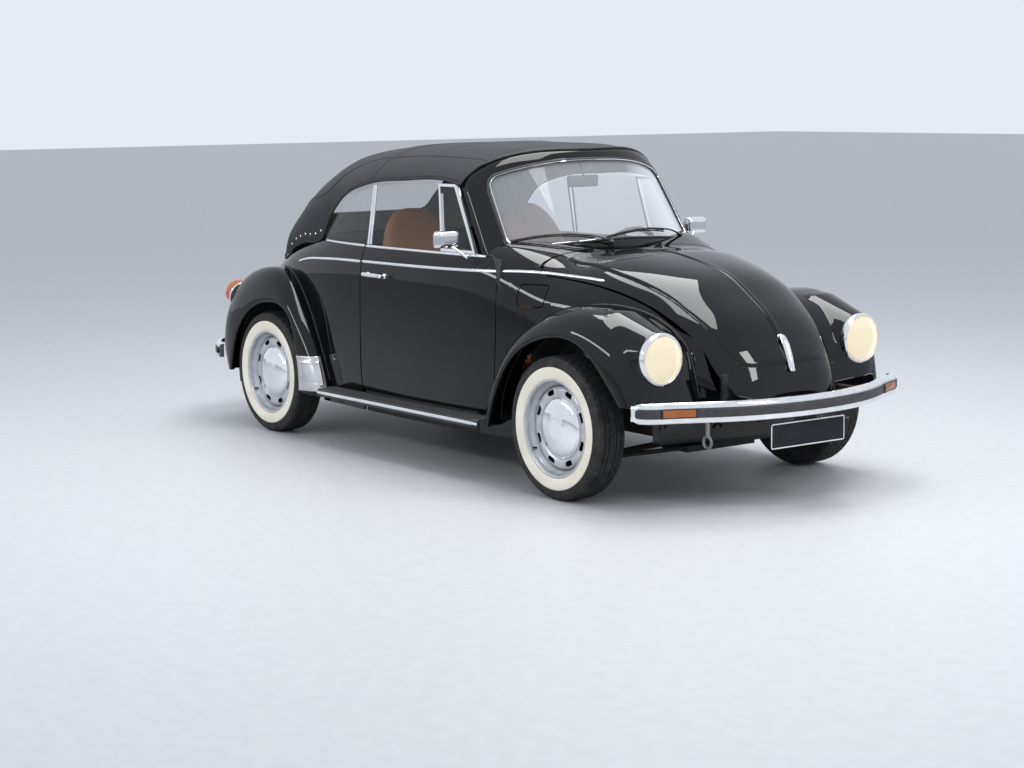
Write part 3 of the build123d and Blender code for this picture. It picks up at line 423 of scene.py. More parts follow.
class Finish:
    """A principled material with its values on its own sockets, and what is worked into it."""

    def __init__(self, name, color, rough, metallic=0.0, **sockets):
        self.made = bpy.data.materials.new(name)
        self.made.use_nodes = True
        self.nodes, self.links = self.made.node_tree.nodes, self.made.node_tree.links
        self.shader = self.nodes["Principled BSDF"]
        self.set(Base_Color=(*color, 1), Roughness=rough, Metallic=metallic, **sockets)

    def set(self, **sockets):
        """Sets the shader's sockets, named with underscores for spaces."""
        for socket, value in sockets.items():
            self.shader.inputs[socket.replace("_", " ")].default_value = value

    def texture(self, kind, **settings):
        """A texture over the piece's own coordinates."""
        where = self.nodes.new("ShaderNodeTexCoord")
        texture = self.nodes.new(kind)
        for socket, value in settings.items():
            texture.inputs[socket].default_value = value
        self.links.new(where.outputs["Object"], texture.inputs["Vector"])
        return texture

    def noise(self, scale, detail=4.0):
        """An even cloudy pattern from 0 to 1."""
        return self.texture("ShaderNodeTexNoise", Scale=scale, Detail=detail).outputs["Fac"]

    def spread(self, source, socket, low, high, start=0.35, end=0.65):
        """Feeds a socket a value between low and high as source goes from start to end."""
        ranged = self.nodes.new("ShaderNodeMapRange")
        for name, value in (("From Min", start), ("From Max", end), ("To Min", low), ("To Max", high)):
            ranged.inputs[name].default_value = value
        self.links.new(source, ranged.inputs["Value"])
        self.links.new(ranged.outputs["Result"], self.shader.inputs[socket])

    def tint(self, source, low, high, start=0.35, end=0.65):
        """Colours the surface between two colours as source goes from start to end."""
        ramp = self.nodes.new("ShaderNodeValToRGB")
        for stop, position, color in zip(ramp.color_ramp.elements, (start, end), (low, high)):
            stop.position, stop.color = position, (*color, 1)
        self.links.new(source, ramp.inputs["Fac"])
        self.links.new(ramp.outputs["Color"], self.shader.inputs["Base Color"])

    def relief(self, source, distance, strength=1.0):
        """Raises the surface by source times distance, in metres."""
        bump = self.nodes.new("ShaderNodeBump")
        bump.inputs["Distance"].default_value = distance
        bump.inputs["Strength"].default_value = strength
        self.links.new(source, bump.inputs["Height"])
        self.links.new(bump.outputs["Normal"], self.shader.inputs["Normal"])


def worked(name, low, high, rough, metallic=0.0, grain=300.0, drift=16, gloss=None, depth=0.0002,
           strength=0.4,
           detail=4.0, **sockets):
    """A surface whose colour drifts between two shades, with a fine grain and, given gloss, uneven gloss."""
    made = Finish(name, high, rough, metallic, **sockets)
    made.tint(made.noise(drift), low, high)
    if gloss:
        made.spread(made.noise(gloss[0]), "Roughness", *gloss[1:])
    if grain:
        made.relief(made.noise(grain, detail), depth, strength)
    return made.made


def black_cloth():
    """Woven hood cloth: threads cross each other in the relief."""
    made = Finish("hood_cloth", (0.008, 0.008, 0.01), 0.88, Sheen_Weight=0.12, Sheen_Roughness=0.5,
                  Sheen_Tint=(0.55, 0.57, 0.62, 1))
    made.tint(made.noise(7), (0.006, 0.006, 0.008), (0.010, 0.010, 0.013))
    both = made.nodes.new("ShaderNodeMath")
    both.operation = "MULTIPLY"
    for socket, direction in zip(both.inputs, ("X", "Y")):
        wave = made.texture("ShaderNodeTexWave", Scale=260, Distortion=0.6)
        wave.bands_direction = direction
        made.links.new(wave.outputs["Fac"], socket)
    made.relief(both.outputs["Value"], 0.0006, 0.6)
    return made.made


def hide(name, low, high):
    """Grained leather between two colours."""
    made = Finish(name, high, 0.48, Specular_IOR_Level=0.45)
    made.tint(made.noise(6), low, high)
    made.relief(made.texture("ShaderNodeTexVoronoi", Scale=120.0).outputs["Distance"], 0.0006, 0.35)
    return made.made


def clear_plastic(name, color, rough):
    """Clear plastic, light showing through it."""
    made = Finish(name, color, rough, Transmission_Weight=1.0, IOR=1.45)
    made.spread(made.noise(4), "Roughness", rough * 0.6, rough * 1.4)
    return made.made


def pane(name, color, through, **sockets):
    """Thin glass: mostly clear, with a mirror-like gloss on top that grows at a slant."""
    made = Finish(name, color, 0.02, IOR=1.5, Coat_Weight=1.0, Coat_Roughness=0.0, **sockets)
    slant = made.nodes.new("ShaderNodeLayerWeight")
    slant.inputs["Blend"].default_value = 0.5
    made.spread(made.noise(3, 2), "Roughness", 0.01, 0.03)
    made.spread(slant.outputs["Facing"], "Alpha", through, 0.9, 0.5, 1.0)
    return made.made


PAINT = worked("black_lacquer", (0.0022, 0.0022, 0.003), (0.0045, 0.0045, 0.0055), 0.35, 0.0, 420, 5,
               (14, 0.3, 0.4),
               0.00001, 0.2, 2, Coat_Weight=0.75, Coat_Roughness=0.012, Specular_IOR_Level=0.0)
CHROME = worked("chrome_plate", (0.8, 0.81, 0.83), (0.88, 0.89, 0.9), 0.05, 1.0, None, 18, (40, 0.03, 0.085))
SILVER = worked("silver_enamel", (0.44, 0.45, 0.47), (0.54, 0.55, 0.57), 0.34, 0.55, 900, 30, depth=0.00004,
                detail=2,
                Coat_Weight=0.35, Coat_Roughness=0.1)
TYRE = worked("tyre_rubber", (0.012, 0.012, 0.013), (0.03, 0.029, 0.028), 0.72, drift=22,
              gloss=(60, 0.62, 0.85),
              depth=0.0003, Specular_IOR_Level=0.35)
CREAM = worked("cream_whitewall", (0.74, 0.69, 0.57), (0.83, 0.79, 0.69), 0.5, 0.0, 260, 9, depth=0.0001,
               strength=0.3)
RUBBER = worked("moulded_rubber", (0.014, 0.014, 0.015), (0.028, 0.028, 0.03), 0.6, 0.0, 700, 25,
                depth=0.0001)
STRIP = worked("bumper_strip_rubber", (0.03, 0.031, 0.034), (0.042, 0.043, 0.046), 0.55, 0.0, 700, 30,
               depth=0.0001)
CLOTH = black_cloth()
TAN = hide("tan_leather", (0.23, 0.085, 0.032), (0.33, 0.13, 0.05))
SAND = hide("sand_trim", (0.25, 0.225, 0.19), (0.34, 0.31, 0.27))
PLASTIC = worked("black_plastic", (0.012, 0.012, 0.013), (0.02, 0.02, 0.022), 0.42)
# dark underbody finish, also the painted shade behind the wheel slots and in the lid's louvre openings
UNDER_AND_SHADE = worked("underbody_and_shade_black", (0.008, 0.008, 0.009), (0.02, 0.019, 0.018), 0.8)
CAST = worked("cast_metal", (0.2, 0.2, 0.2), (0.34, 0.33, 0.32), 0.5, 0.9)
STEEL = worked("bright_sheet", (0.55, 0.56, 0.57), (0.68, 0.69, 0.7), 0.2, 1.0, 60)
LINING = worked("hood_lining", (0.3, 0.29, 0.27), (0.36, 0.35, 0.33), 0.85)
CARPET = worked("black_carpet", (0.006, 0.006, 0.007), (0.02, 0.02, 0.022), 0.95, 0.0, 900)
BOARD_RUBBER = worked("board_rubber", (0.02, 0.02, 0.021), (0.032, 0.032, 0.034), 0.55, 0.0, 500)
PLATE = worked("plate_face", (0.008, 0.009, 0.014), (0.013, 0.014, 0.02), 0.6, Specular_IOR_Level=0.2)
WHITE = worked("plate_border", (0.62, 0.62, 0.6), (0.72, 0.72, 0.7), 0.4)
AMBER = worked("amber_lens", (0.28, 0.07, 0.004), (0.36, 0.1, 0.008), 0.22, Coat_Weight=0.5)
RED = worked("red_lens", (0.42, 0.006, 0.004), (0.55, 0.012, 0.006), 0.15, Coat_Weight=1.0)
FROST = worked("white_lens", (0.62, 0.6, 0.56), (0.72, 0.7, 0.66), 0.15, Coat_Weight=1.0)
LENS = clear_plastic("clear_lens", (1.0, 0.98, 0.94), 0.03)
MIRROR = Finish("mirror_glass", (0.9, 0.9, 0.92), 0.01, 1.0).made
REFLECT = Finish("lamp_reflector", (0.95, 0.9, 0.8), 0.12, 1.0).made
BULB = Finish("lamp_glow", (1.0, 0.85, 0.6), 0.4, Emission_Strength=5.0,
              Emission_Color=(1.0, 0.78, 0.48, 1)).made
GLASS = pane("window_glass", (0.4, 0.44, 0.44), 0.05)
SCREEN_GLASS = pane("screen_glass", (0.62, 0.66, 0.7), 0.16)
LAMP_GLASS = pane("lamp_glass", (0.6, 0.55, 0.45), 0.5, Emission_Color=(1.0, 0.86, 0.6, 1),
                  Emission_Strength=0.62)

# ---------------------------------------------------------------- lines on the body

PANEL_SHEET = 10.0
HALF_GAP = 1.0  # each visible panel reaches this far into the design's gap
DOOR_GAP = 7.0
BONNET_GAP = 9.0
LID_GAP = 7.0
PANEL = {"slot": "paint", "wall": PANEL_SHEET, "edge": 1.6, "crisp": 50, "lined": True}
BELT_Z = 1003.0
NOSE_X = 1872.0
TAIL_X = -1965.0


def lean(x, turn):
    """Points of the skin map: x, and the angle down from the top, for a place found by its turn."""
    return np.stack([np.asarray(x, float), 90 - np.asarray(turn, float)], axis=-1)


def from_side(points):
    """Skin-map points of places given by x and z."""
    x, z = np.asarray(points, float).T
    return lean(x, body_form.turn_beside(x, z))


def from_plan(points):
    """Skin-map points of places given by x and y."""
    x, y = np.asarray(points, float).T
    return lean(x, body_form.turn_above(x, y))


def on_skin(form, places):
    """The skin at skin-map points, on the left side where the angle is above zero."""
    x, down = places[:, 0], places[:, 1]
    return form.around(x, 90 - np.abs(down), np.where(down < 0, -1.0, 1.0))


def skin_patch(bm, across, along, bottom, top, left, right):
    """Adds a patch of the body's skin inside four edge curves on the skin map."""
    filled = between(bottom, top, left, right)
    return patch(bm, across, along, lambda u, v: on_skin(body_form, filled(u, v)))


def cut_outline(bm, outline, first, second, near):
    """Cuts a convex outline, seen along the third axis, out of the faces that near() picks."""
    outline = [np.asarray(p, float) for p in outline]
    middle = sum(outline) / len(outline)

    def picked():
        found = [f for f in bm.faces if near(f.calc_center_median())]
        edges = {e for f in found for e in f.edges}
        verts = {v for e in edges for v in e.verts}
        return found + list(edges) + list(verts)

    walls = []
    for a, b in zip(outline, outline[1:] + outline[:1]):
        run = b - a
        normal = np.array([run[1], -run[0]])
        if normal.dot(middle - a) > 0:
            normal = -normal
        spot, way = Vector((0, 0, 0)), Vector((0, 0, 0))
        spot[first], spot[second] = a
        way[first], way[second] = normal
        walls.append((spot, way.normalized()))
        bmesh.ops.bisect_plane(bm, geom=picked(), dist=0.01, plane_co=spot, plane_no=way)
    inside = []
    for f in bm.faces:
        centre = f.calc_center_median()
        if near(centre) and all((centre - spot).dot(way) < 0 for spot, way in walls):
            inside.append(f)
    bmesh.ops.delete(bm, geom=inside, context="FACES")


def rounded(low, high, radius, steps=5, grow=0.0):
    """A rectangle's outline with round corners."""
    low, high = np.array(low, float) - grow, np.array(high, float) + grow
    radius = radius + grow
    points = []
    for quarter, corner in enumerate([(high[0], high[1]), (low[0], high[1]), (low[0], low[1]),
                                      (high[0], low[1])]):
        inner = np.array(corner) + radius * np.array([(-1, 1, 1, -1)[quarter], (-1, -1, 1, 1)[quarter]])
        for i in range(steps + 1):
            angle = math.radians(90 * quarter + 90 * i / steps)
            points.append(inner + radius * np.array([math.cos(angle), math.sin(angle)]))
    return points


# ---------------------------------------------------------------- front body

BONNET_SIDE = [(900, 536), (1002, 508), (1152, 479), (1304, 438), (1449, 402), (1597, 371), (1712, 345),
               (1768, 320), (1805, 293)]
BONNET_CORNER = (840, 526)
BONNET_REAR_X = 820.0
BONNET_LOW_Z = 452.0
DOOR_FRONT = [(634, 306), (660, 480), (672, 700), (669, 900), (642, 985), (560, BELT_Z)]
SCREEN_FOOT = [(578, 545), (655, 420), (715, 280), (750, 140), (760, 0)]


def bonnet_side_line(grow):
    """The bonnet's side edge on the skin map from its rear corner to its nose, moved outwards by grow."""
    points = [(BONNET_CORNER[0] - grow * 0.7, BONNET_CORNER[1] + grow * 0.7), (866, 545 + grow)]
    points = points + [(x, y + grow) for x, y in BONNET_SIDE]
    nose = [(1830, 455 - grow), (1852, BONNET_LOW_Z - grow), (NOSE_X, BONNET_LOW_Z - grow)]
    return np.concatenate([from_plan(points), from_side(nose)])


def front_body_half(bm):
    """Adds the left half of the front body's skin, from the door to the nose and around the bonnet."""
    hole = DOOR_GAP - HALF_GAP
    edge = bonnet_side_line(BONNET_GAP - HALF_GAP)
    corner = edge[0]
    door = from_side([(x + hole, z) for x, z in DOOR_FRONT[:-1]] + [(DOOR_FRONT[-1][0], BELT_Z + 4)])
    foot = from_plan(SCREEN_FOOT)
    belt_corner = door[-1]
    sill = lean([641, corner[0]], [-90, -90])
    door_line = straight(np.concatenate([sill[:1], door]))
    drop = straight([sill[1], corner])
    shoulder = straight([belt_corner, corner])
    skin_patch(bm, 18, 44, straight(sill), shoulder, door_line, drop)
    bottom = lean([corner[0], NOSE_X], [-90, -90])
    end = straight([bottom[1], edge[-1]])
    skin_patch(bm, 76, 44, straight(bottom), smooth(edge), drop, end)
    rear_x = BONNET_REAR_X - BONNET_GAP + HALF_GAP
    rear = from_plan([(rear_x, 470), (rear_x, 400), (rear_x, 250), (rear_x, 120), (rear_x, 0)])
    rear_line = smooth(np.concatenate([[corner], rear]))
    centre = from_plan([(SCREEN_FOOT[-1][0], 0), (rear_x, 0)])
    foot_line = smooth(np.concatenate([[belt_corner], foot]))
    skin_patch(bm, 18, 50, shoulder, straight(centre), foot_line, rear_line)
    sill_low = from_side([(550, 201), (641, 201)])
    sill_high = from_side([(550, 299), (641, 299)])
    skin_patch(bm, 8, 8, straight(sill_low), straight(sill_high), straight([sill_low[0], sill_high[0]]),
               straight([sill_low[1], sill_high[1]]))


def end_cap(bm, x, high_z, side):
    """Adds the slightly crowned end face across the nose or tail, below high_z."""
    turn_high = body_form.turn_beside(np.array([x]), np.array([high_z]))[0]

    def place(u, v):
        edge = body_form.around(np.full_like(u, x), -90 + (turn_high + 90) * u, np.ones_like(u))
        edge[:, 1] *= 1 - v
        edge[:, 0] += side * 6 * (1 - (1 - v) ** 2)
        return edge

    patch(bm, 24, 20, place)


def clear_arch(bm, axle, radius, inner_y):
    """Opens the skin where a wheel turns."""
    def within(f):
        c = f.calc_center_median()
        return (c.x - axle[0]) ** 2 + (c.z - axle[1]) ** 2 < radius**2 and abs(c.y) > inner_y

    bmesh.ops.delete(bm, geom=[f for f in bm.faces if within(f)], context="FACES")


FLAP_LOW, FLAP_HIGH = (793.0, 795.0), (928.0, 888.0)  # x, z


def in_flap_area(c):
    """Whether a place is on the skin round the fuel flap."""
    return c.y < -300 and 740 < c.x < 980 and 740 < c.z < 925


bm = bmesh.new()
front_body_half(bm)
end_cap(bm, NOSE_X, 444.0, 1)
mirrored(bm)
tidy(bm, 0.5)
clear_arch(bm, FRONT_AXLE, 446, 452)
cut_outline(bm, rounded(FLAP_LOW, FLAP_HIGH, 16, grow=3.5), 0, 2, in_flap_area)
face_from(bm, (1000, 0, 600))
piece("front_body_skin", bm, [PAINT, UNDER_AND_SHADE], "body", ["front_body"], **PANEL)


def squircle(u, v, power):
    """Turns a 0-to-1 square into a square with round corners from -1 to 1."""
    a, b = 2 * u - 1, 2 * v - 1
    reach = np.maximum(np.abs(a), np.abs(b))
    length = (np.abs(a) ** power + np.abs(b) ** power) ** (1 / power)
    scale = np.where(length > 0, reach / np.where(length > 0, length, 1), 0)
    return a * scale, b * scale


def flap_place(u, v):
    """The flap's place on the right side, a little smaller than its hole."""
    a, b = squircle(u, v, 7)
    x = (FLAP_LOW[0] + FLAP_HIGH[0]) / 2 + a * ((FLAP_HIGH[0] - FLAP_LOW[0]) / 2 - 0.5)
    z = (FLAP_LOW[1] + FLAP_HIGH[1]) / 2 + b * ((FLAP_HIGH[1] - FLAP_LOW[1]) / 2 - 0.5)
    return body_form.beside(x, z, -1.0)


skin("fuel_flap_skin", 20, 16, flap_place, (860, 0, 700), PAINT, "fuel_flap", replaces=["fuel_flap"],
     slot="paint", wall=8, edge=1.6, crisp=50)

# ---------------------------------------------------------------- bonnet

CREASE_SIDE = [(868, 418), (889, 424), (969, 412), (1176, 401), (1295, 380), (1392, 362), (1482, 346),
               (1571, 330),
               (1675, 306), (1724, 290), (1767, 270), (1806, 244)]
CREASE_NOSE = [(1806, 244), (1829, 174), (1836, 96), (1838, 0)]
CREASE_REAR = [(868, 418), (858, 380), (856, 250), (856, 0)]
CREASE_RISE = 8.0
CREASE_RUN = 13.0


def graded(steps):
    """Turns even fractions into fractions that crowd where steps says."""
    steps = np.asarray(steps, float)
    even = np.linspace(0, 1, len(steps))
    return lambda t: np.interp(t, even, steps / steps[-1])


crease_side = smooth(from_plan(CREASE_SIDE))
crease_nose = smooth(from_plan(CREASE_NOSE))
crease_rear = smooth(from_plan(CREASE_REAR))
even = np.linspace(0, 1, 160)
crease_line = on_skin(body_form, np.concatenate([crease_rear(even)[::-1], crease_side(even),
                                                 crease_nose(even)]))


def rise_inside(points):
    """How far points of the bonnet stand up: nothing outside the crease, all of it inside."""
    left = points.copy()
    left[:, 1] = np.abs(left[:, 1])
    far = [np.sqrt(((crease_line - p) ** 2).sum(1).min()) for p in left]
    t = np.clip(np.array(far) / CREASE_RUN, 0, 1)
    return CREASE_RISE * t * t * (3 - 2 * t)


edge = bonnet_side_line(HALF_GAP)
rear_x = BONNET_REAR_X - HALF_GAP
rear_corner, side_front = edge[0], edge[-1]
rear_left = from_plan([(rear_x, 400)])[0]
rear_centre, nose_centre = np.array([rear_x, 0.0]), np.array([NOSE_X, 0.0])
rear_split = from_plan([(905, 535)])[0]
nose_split = from_side([(1822, 466)])[0]
crease_a, crease_b = crease_side(np.zeros(1))[0], crease_side(np.ones(1))[0]
nose_left = from_side([(NOSE_X, BONNET_LOW_Z)])[0] * [1, 0.55]
rear_part = edge[edge[:, 0] < 900]
mid_part = edge[(edge[:, 0] > 910) & (edge[:, 0] < 1815)]
nose_part = edge[edge[:, 0] > 1825]
edge_rear = smooth(np.concatenate([rear_part, [rear_split]]))
edge_mid = smooth(np.concatenate([[rear_split], mid_part, [nose_split]]))
edge_nose = smooth(np.concatenate([[nose_split], nose_part]))
rear_outer = smooth(np.concatenate([[rear_corner], from_plan([(822, 470)]), [rear_left]]))
rear_inner = straight([rear_left, rear_centre])
crease_to_rear = straight([rear_left, crease_a])
crease_to_nose = straight([crease_b, nose_left])
centre_rear = straight([rear_centre, (856, 0)])
centre_mid = straight([(856, 0), (1838, 0)])
centre_nose = straight([(1838, 0), nose_centre])
outer_steps = graded([0, 24, 45, 62, 76, 88, 96, 102, 105])
inner_steps = graded([0, 3, 6, 9, 12, 15, 20, 30, 45, 65, 90, 120, 150, 180, 215, 250, 285, 320, 360, 400])
run_steps = [0, 3, 6, 9, 12, 15, 20, *range(32, 960, 13), 966, 972, 975, 978, 981, 984, 987]
along_steps = graded(run_steps)
MIDDLE, OUTER, INNER = len(run_steps) - 1, 8, 19
rear_cut, nose_cut = straight([rear_split, crease_a]), straight([nose_split, crease_b])
# blocks of skin: steps along and across, the four edges, and how the steps crowd along and across
BONNET_BLOCKS = [
    (6, OUTER, edge_rear, crease_to_rear, rear_outer, rear_cut, None, outer_steps),
    (MIDDLE, OUTER, edge_mid, crease_side, rear_cut, nose_cut, along_steps, outer_steps),
    (8, OUTER, edge_nose, crease_to_nose, nose_cut, straight([side_front, nose_left]), None, outer_steps),
    (6, INNER, crease_to_rear, centre_rear, rear_inner, crease_rear, None, inner_steps),
    (MIDDLE, INNER, crease_side, centre_mid, crease_rear, crease_nose, along_steps, inner_steps),
    (8, INNER, crease_to_nose, centre_nose, crease_nose, straight([nose_left, nose_centre]), None,
     inner_steps),
]
RAISED_BLOCK = 4
bm = bmesh.new()
for number, (across, along, bottom, top, left, right, grade_u, grade_v) in enumerate(BONNET_BLOCKS):
    filled = between(bottom, top, left, right)

    def block_place(u, v):
        points = on_skin(body_form, filled(grade_u(u) if grade_u else u, grade_v(v)))
        if number == RAISED_BLOCK:
            points = points + body_form.outward(points) * rise_inside(points)[:, None]
        return points

    patch(bm, across, along, block_place)
tidy(bm, 0.4)
mirrored(bm)
tidy(bm, 0.4)
face_from(bm, (1200, 0, 500))
piece("bonnet_skin", bm, [PAINT, UNDER_AND_SHADE], "bonnet", ["bonnet"], **PANEL)


def ribbon(bm, points, normals, profile, widths=None, lifts=None):
    """Sweeps a cross profile of (across, out) distances along points on a skin."""
    points, normals = np.asarray(points, float), np.asarray(normals, float)
    ahead = np.gradient(points, axis=0)
    ahead = ahead / np.linalg.norm(ahead, axis=1)[:, None]
    across = np.cross(normals, ahead)
    across = across / np.linalg.norm(across, axis=1)[:, None]
    profile = np.asarray(profile, float)
    widths = np.ones(len(points)) if widths is None else np.asarray(widths)
    lifts = widths if lifts is None else np.asarray(lifts)
    count = len(points) - 1

    def place(u, v):
        i = np.rint(u * count).astype(int)
        j = np.rint(v * (len(profile) - 1)).astype(int)
        step = profile[j]
        aside, out = step[:, :1] * widths[i, None], step[:, 1:] * lifts[i, None]
        return points[i] + across[i] * aside + normals[i] * out

    patch(bm, count, len(profile) - 1, place)
    return bm


def half_round(width, height, steps=8, sink=1.5):
    """A half-round cross profile, its feet sunk a little into the skin."""
    angles = np.linspace(0, math.pi, steps + 1)
    rows = [(-width / 2 * math.cos(a), height * math.sin(a) ** 0.7) for a in angles]
    return [(-width / 2, -sink), *rows, (width / 2, -sink)]


def tapered(count, ends):
    """Widths along a strip: full in the middle, rounding off over so many steps at the ends."""
    i = np.arange(count)
    near = np.minimum(i + 0.3, count - 1 - i + 0.3)
    return np.sqrt(np.clip(1 - (1 - np.clip(near / ends, 0, 1)) ** 2, 0, 1))


RIDGE_SECTION = [(-19, -1), (-17.5, 2.2), (-14, 4.2), (-7, 5), (0, 5.2), (7, 5), (14, 4.2), (17.5, 2.2),
                 (19, -1)]
bm = bmesh.new()
ridge_x = np.linspace(868, 1768, 90)
spine = body_form.above(ridge_x, np.zeros(90))
normals = body_form.outward(spine)
spine = spine + normals * (CREASE_RISE - 0.5)
ridge_widths = np.interp(ridge_x, [868, 1000, 1400, 1768], [0.35, 0.6, 1.0, 1.0])
ribbon(bm, spine, normals, RIDGE_SECTION, ridge_widths, np.interp(ridge_x, [868, 930, 1768], [0.2, 1.0, 1.0]))
face_from(bm, (1300, 0, 300))
piece("bonnet_ridge", bm, PAINT, "bonnet", slot="paint")

# ---------------------------------------------------------------- doors

DOOR_REAR = [(-398, 306), (-390, 700), (-385, BELT_Z)]


def door_skin(bm, side):
    """Adds a door's skin, its upper front corner rounded off before the belt."""
    out = HALF_GAP
    front_foot, rear_foot = (DOOR_FRONT[0][0],
                             DOOR_FRONT[0][1] - out), (DOOR_REAR[0][0], DOOR_REAR[0][1] - out)
    front = smooth([(x + out, z) for x, z in [front_foot, *DOOR_FRONT[1:4], (645, 980), (600, 998)]])
    rear = smooth([(x - out, z) for x, z in [rear_foot, *DOOR_REAR[1:]]])
    bottom = straight([(-398 - out, 306 - out), (634 + out, 306 - out)])
    top = smooth([(-385 - out, BELT_Z), (100, BELT_Z), (500, BELT_Z), (600 + out, 998)])
    filled = between(bottom, top, rear, front)

    def place(u, v):
        x, z = filled(u, v).T
        return body_form.beside(x, z, side)

    patch(bm, 72, 46, place)


def side_path(points, count, side, out=0.0):
    """Points and normals along a smooth line on the car's side given by x and z."""
    x, z = smooth(points)(np.linspace(0, 1, count)).T
    spots = body_form.beside(x, z, side)
    normals = body_form.outward(spots)
    return spots + normals * out, normals


def side_strip(name, runs, profile, side, body, aim, out=0.0):
    """Makes a bright strip on one side; each run is its x and z points, steps and steps of end taper."""
    bm = bmesh.new()
    for points, count, ends in runs:
        spots, normals = side_path(points, count, side, out)
        ribbon(bm, spots, normals, profile, tapered(count, ends))
    face_from(bm, aim)
    piece(name, bm, CHROME, body, slot="chrome")


MOULDING = half_round(14, 5)
SILL_TRIM = half_round(13, 6)
DOOR_MIDDLE = (100, 0, 600)
BODY_MIDDLE = (-200, 0, 500)
HANDLE_X, HANDLE_Z = -134.0, 866.0
for side_name, side in SIDES.items():
    body = f"door_{side_name}"
    bm = bmesh.new()
    door_skin(bm, side)
    face_from(bm, DOOR_MIDDLE)
    piece(f"door_skin_{side_name}", bm, [PAINT, SAND], body, [body], "paint", wall=42, edge=1.8, crisp=50,
          lined=True)
    moulding = [([(-383, 927), (0, 930), (300, 933), (668, 940)], 100, 2)]
    side_strip(f"door_moulding_{side_name}", moulding, MOULDING, side, body, DOOR_MIDDLE)
    sill = [([(-386, 1000), (0, 1001), (300, 1001), (560, 1000)], 100, 2)]
    side_strip(f"door_sill_trim_{side_name}", sill, SILL_TRIM, side, body, DOOR_MIDDLE, -1)
    # the handle: a dark cup sunk in the skin and a bright bar across it

    def cup(u, v):
        a, b = squircle(u, v, 2.2)
        spots = body_form.beside(HANDLE_X + a * 46, HANDLE_Z + b * 26, side)
        depth = 7 * (1 - np.maximum(np.abs(2 * u - 1), np.abs(2 * v - 1)) ** 4)
        return spots + body_form.outward(spots) * (1.2 - depth)[:, None]

    skin(f"handle_cup_{side_name}", 20, 14, cup, DOOR_MIDDLE, RUBBER, body)
    bm = bmesh.new()
    spots, normals = side_path([(-330, 868), (-240, 868), (-150, 867)], 40, side, 30)
    bar = [(-11, 0), (-9, 5), (-4, 7.5), (4, 7.5), (9, 5), (11, 0), (9, -5), (4, -7.5), (-4, -7.5), (-9, -5),
           (-11, 0)]
    ribbon(bm, spots, normals, bar, tapered(40, 4))
    for foot_x in (-316, -168):
        foot = body_form.beside(np.array([foot_x]), np.array([867.0]), side)[0]
        way = body_form.outward(foot[None])[0]
        turned(bm, [(-2, 0.01), (-2, 17), (3, 16), (8, 11), (30, 10)], 16, foot, way, (0, 0, 1))
    close_up(bm)
    piece(f"door_handle_{side_name}", bm, CHROME, body, slot="chrome", rounds=1, crisp=60)
    bm = bmesh.new()
    spots, normals = side_path([(-176, 866), (-170, 866)], 2, side, 37)
    turned(bm, [(0, 0.01), (0.8, 0.01), (0.8, 6), (0, 7)], 16, spots[0], normals[0], (0, 0, 1))
    close_up(bm)
    piece(f"door_lock_{side_name}", bm, STEEL, body)

# ---------------------------------------------------------------- rear body and engine lid

LID_POWER = 6.0
LID_Z = (490.0, 895.0)
LID_HALF = (330.0, 395.0)  # at its lower and upper edges


def lid_spot(a, b, grow):
    """The place of lid coordinates from -1 to 1 as y and z seen from behind."""
    z = (LID_Z[0] + LID_Z[1]) / 2 + b * ((LID_Z[1] - LID_Z[0]) / 2 + grow)
    half = LID_HALF[0] + (LID_HALF[1] - LID_HALF[0]) * (z - LID_Z[0]) / (LID_Z[1] - LID_Z[0]) + grow
    return a * half, z


def behind(y, z):
    """The tail's skin at y and z."""
    start = np.stack([np.full_like(y, -1300.0), y, z], 1)
    return body_form.reach(start, np.array([-1.0, 0.0, 0.0]), 800.0)


def lid_edge(start, end, count):
    """Skin-map points around the lid's hole between two directions, in degrees from the left side upwards."""
    angles = np.radians(np.linspace(start, end, count))
    a, b = np.cos(angles), np.sin(angles)
    length = (np.abs(a) ** LID_POWER + np.abs(b) ** LID_POWER) ** (1 / LID_POWER)
    y, z = lid_spot(a / length, b / length, LID_GAP - HALF_GAP)
    spots = behind(y, z)
    _, wide, _, low, _ = body_form.row(spots[:, 0]).T
    turn = np.degrees(np.arctan2(spots[:, 2] - wide, np.abs(spots[:, 1])))
    turn = np.where(spots[:, 2] < wide, (spots[:, 2] - wide) / (wide - low) * 90, turn)
    return lean(spots[:, 0], turn)


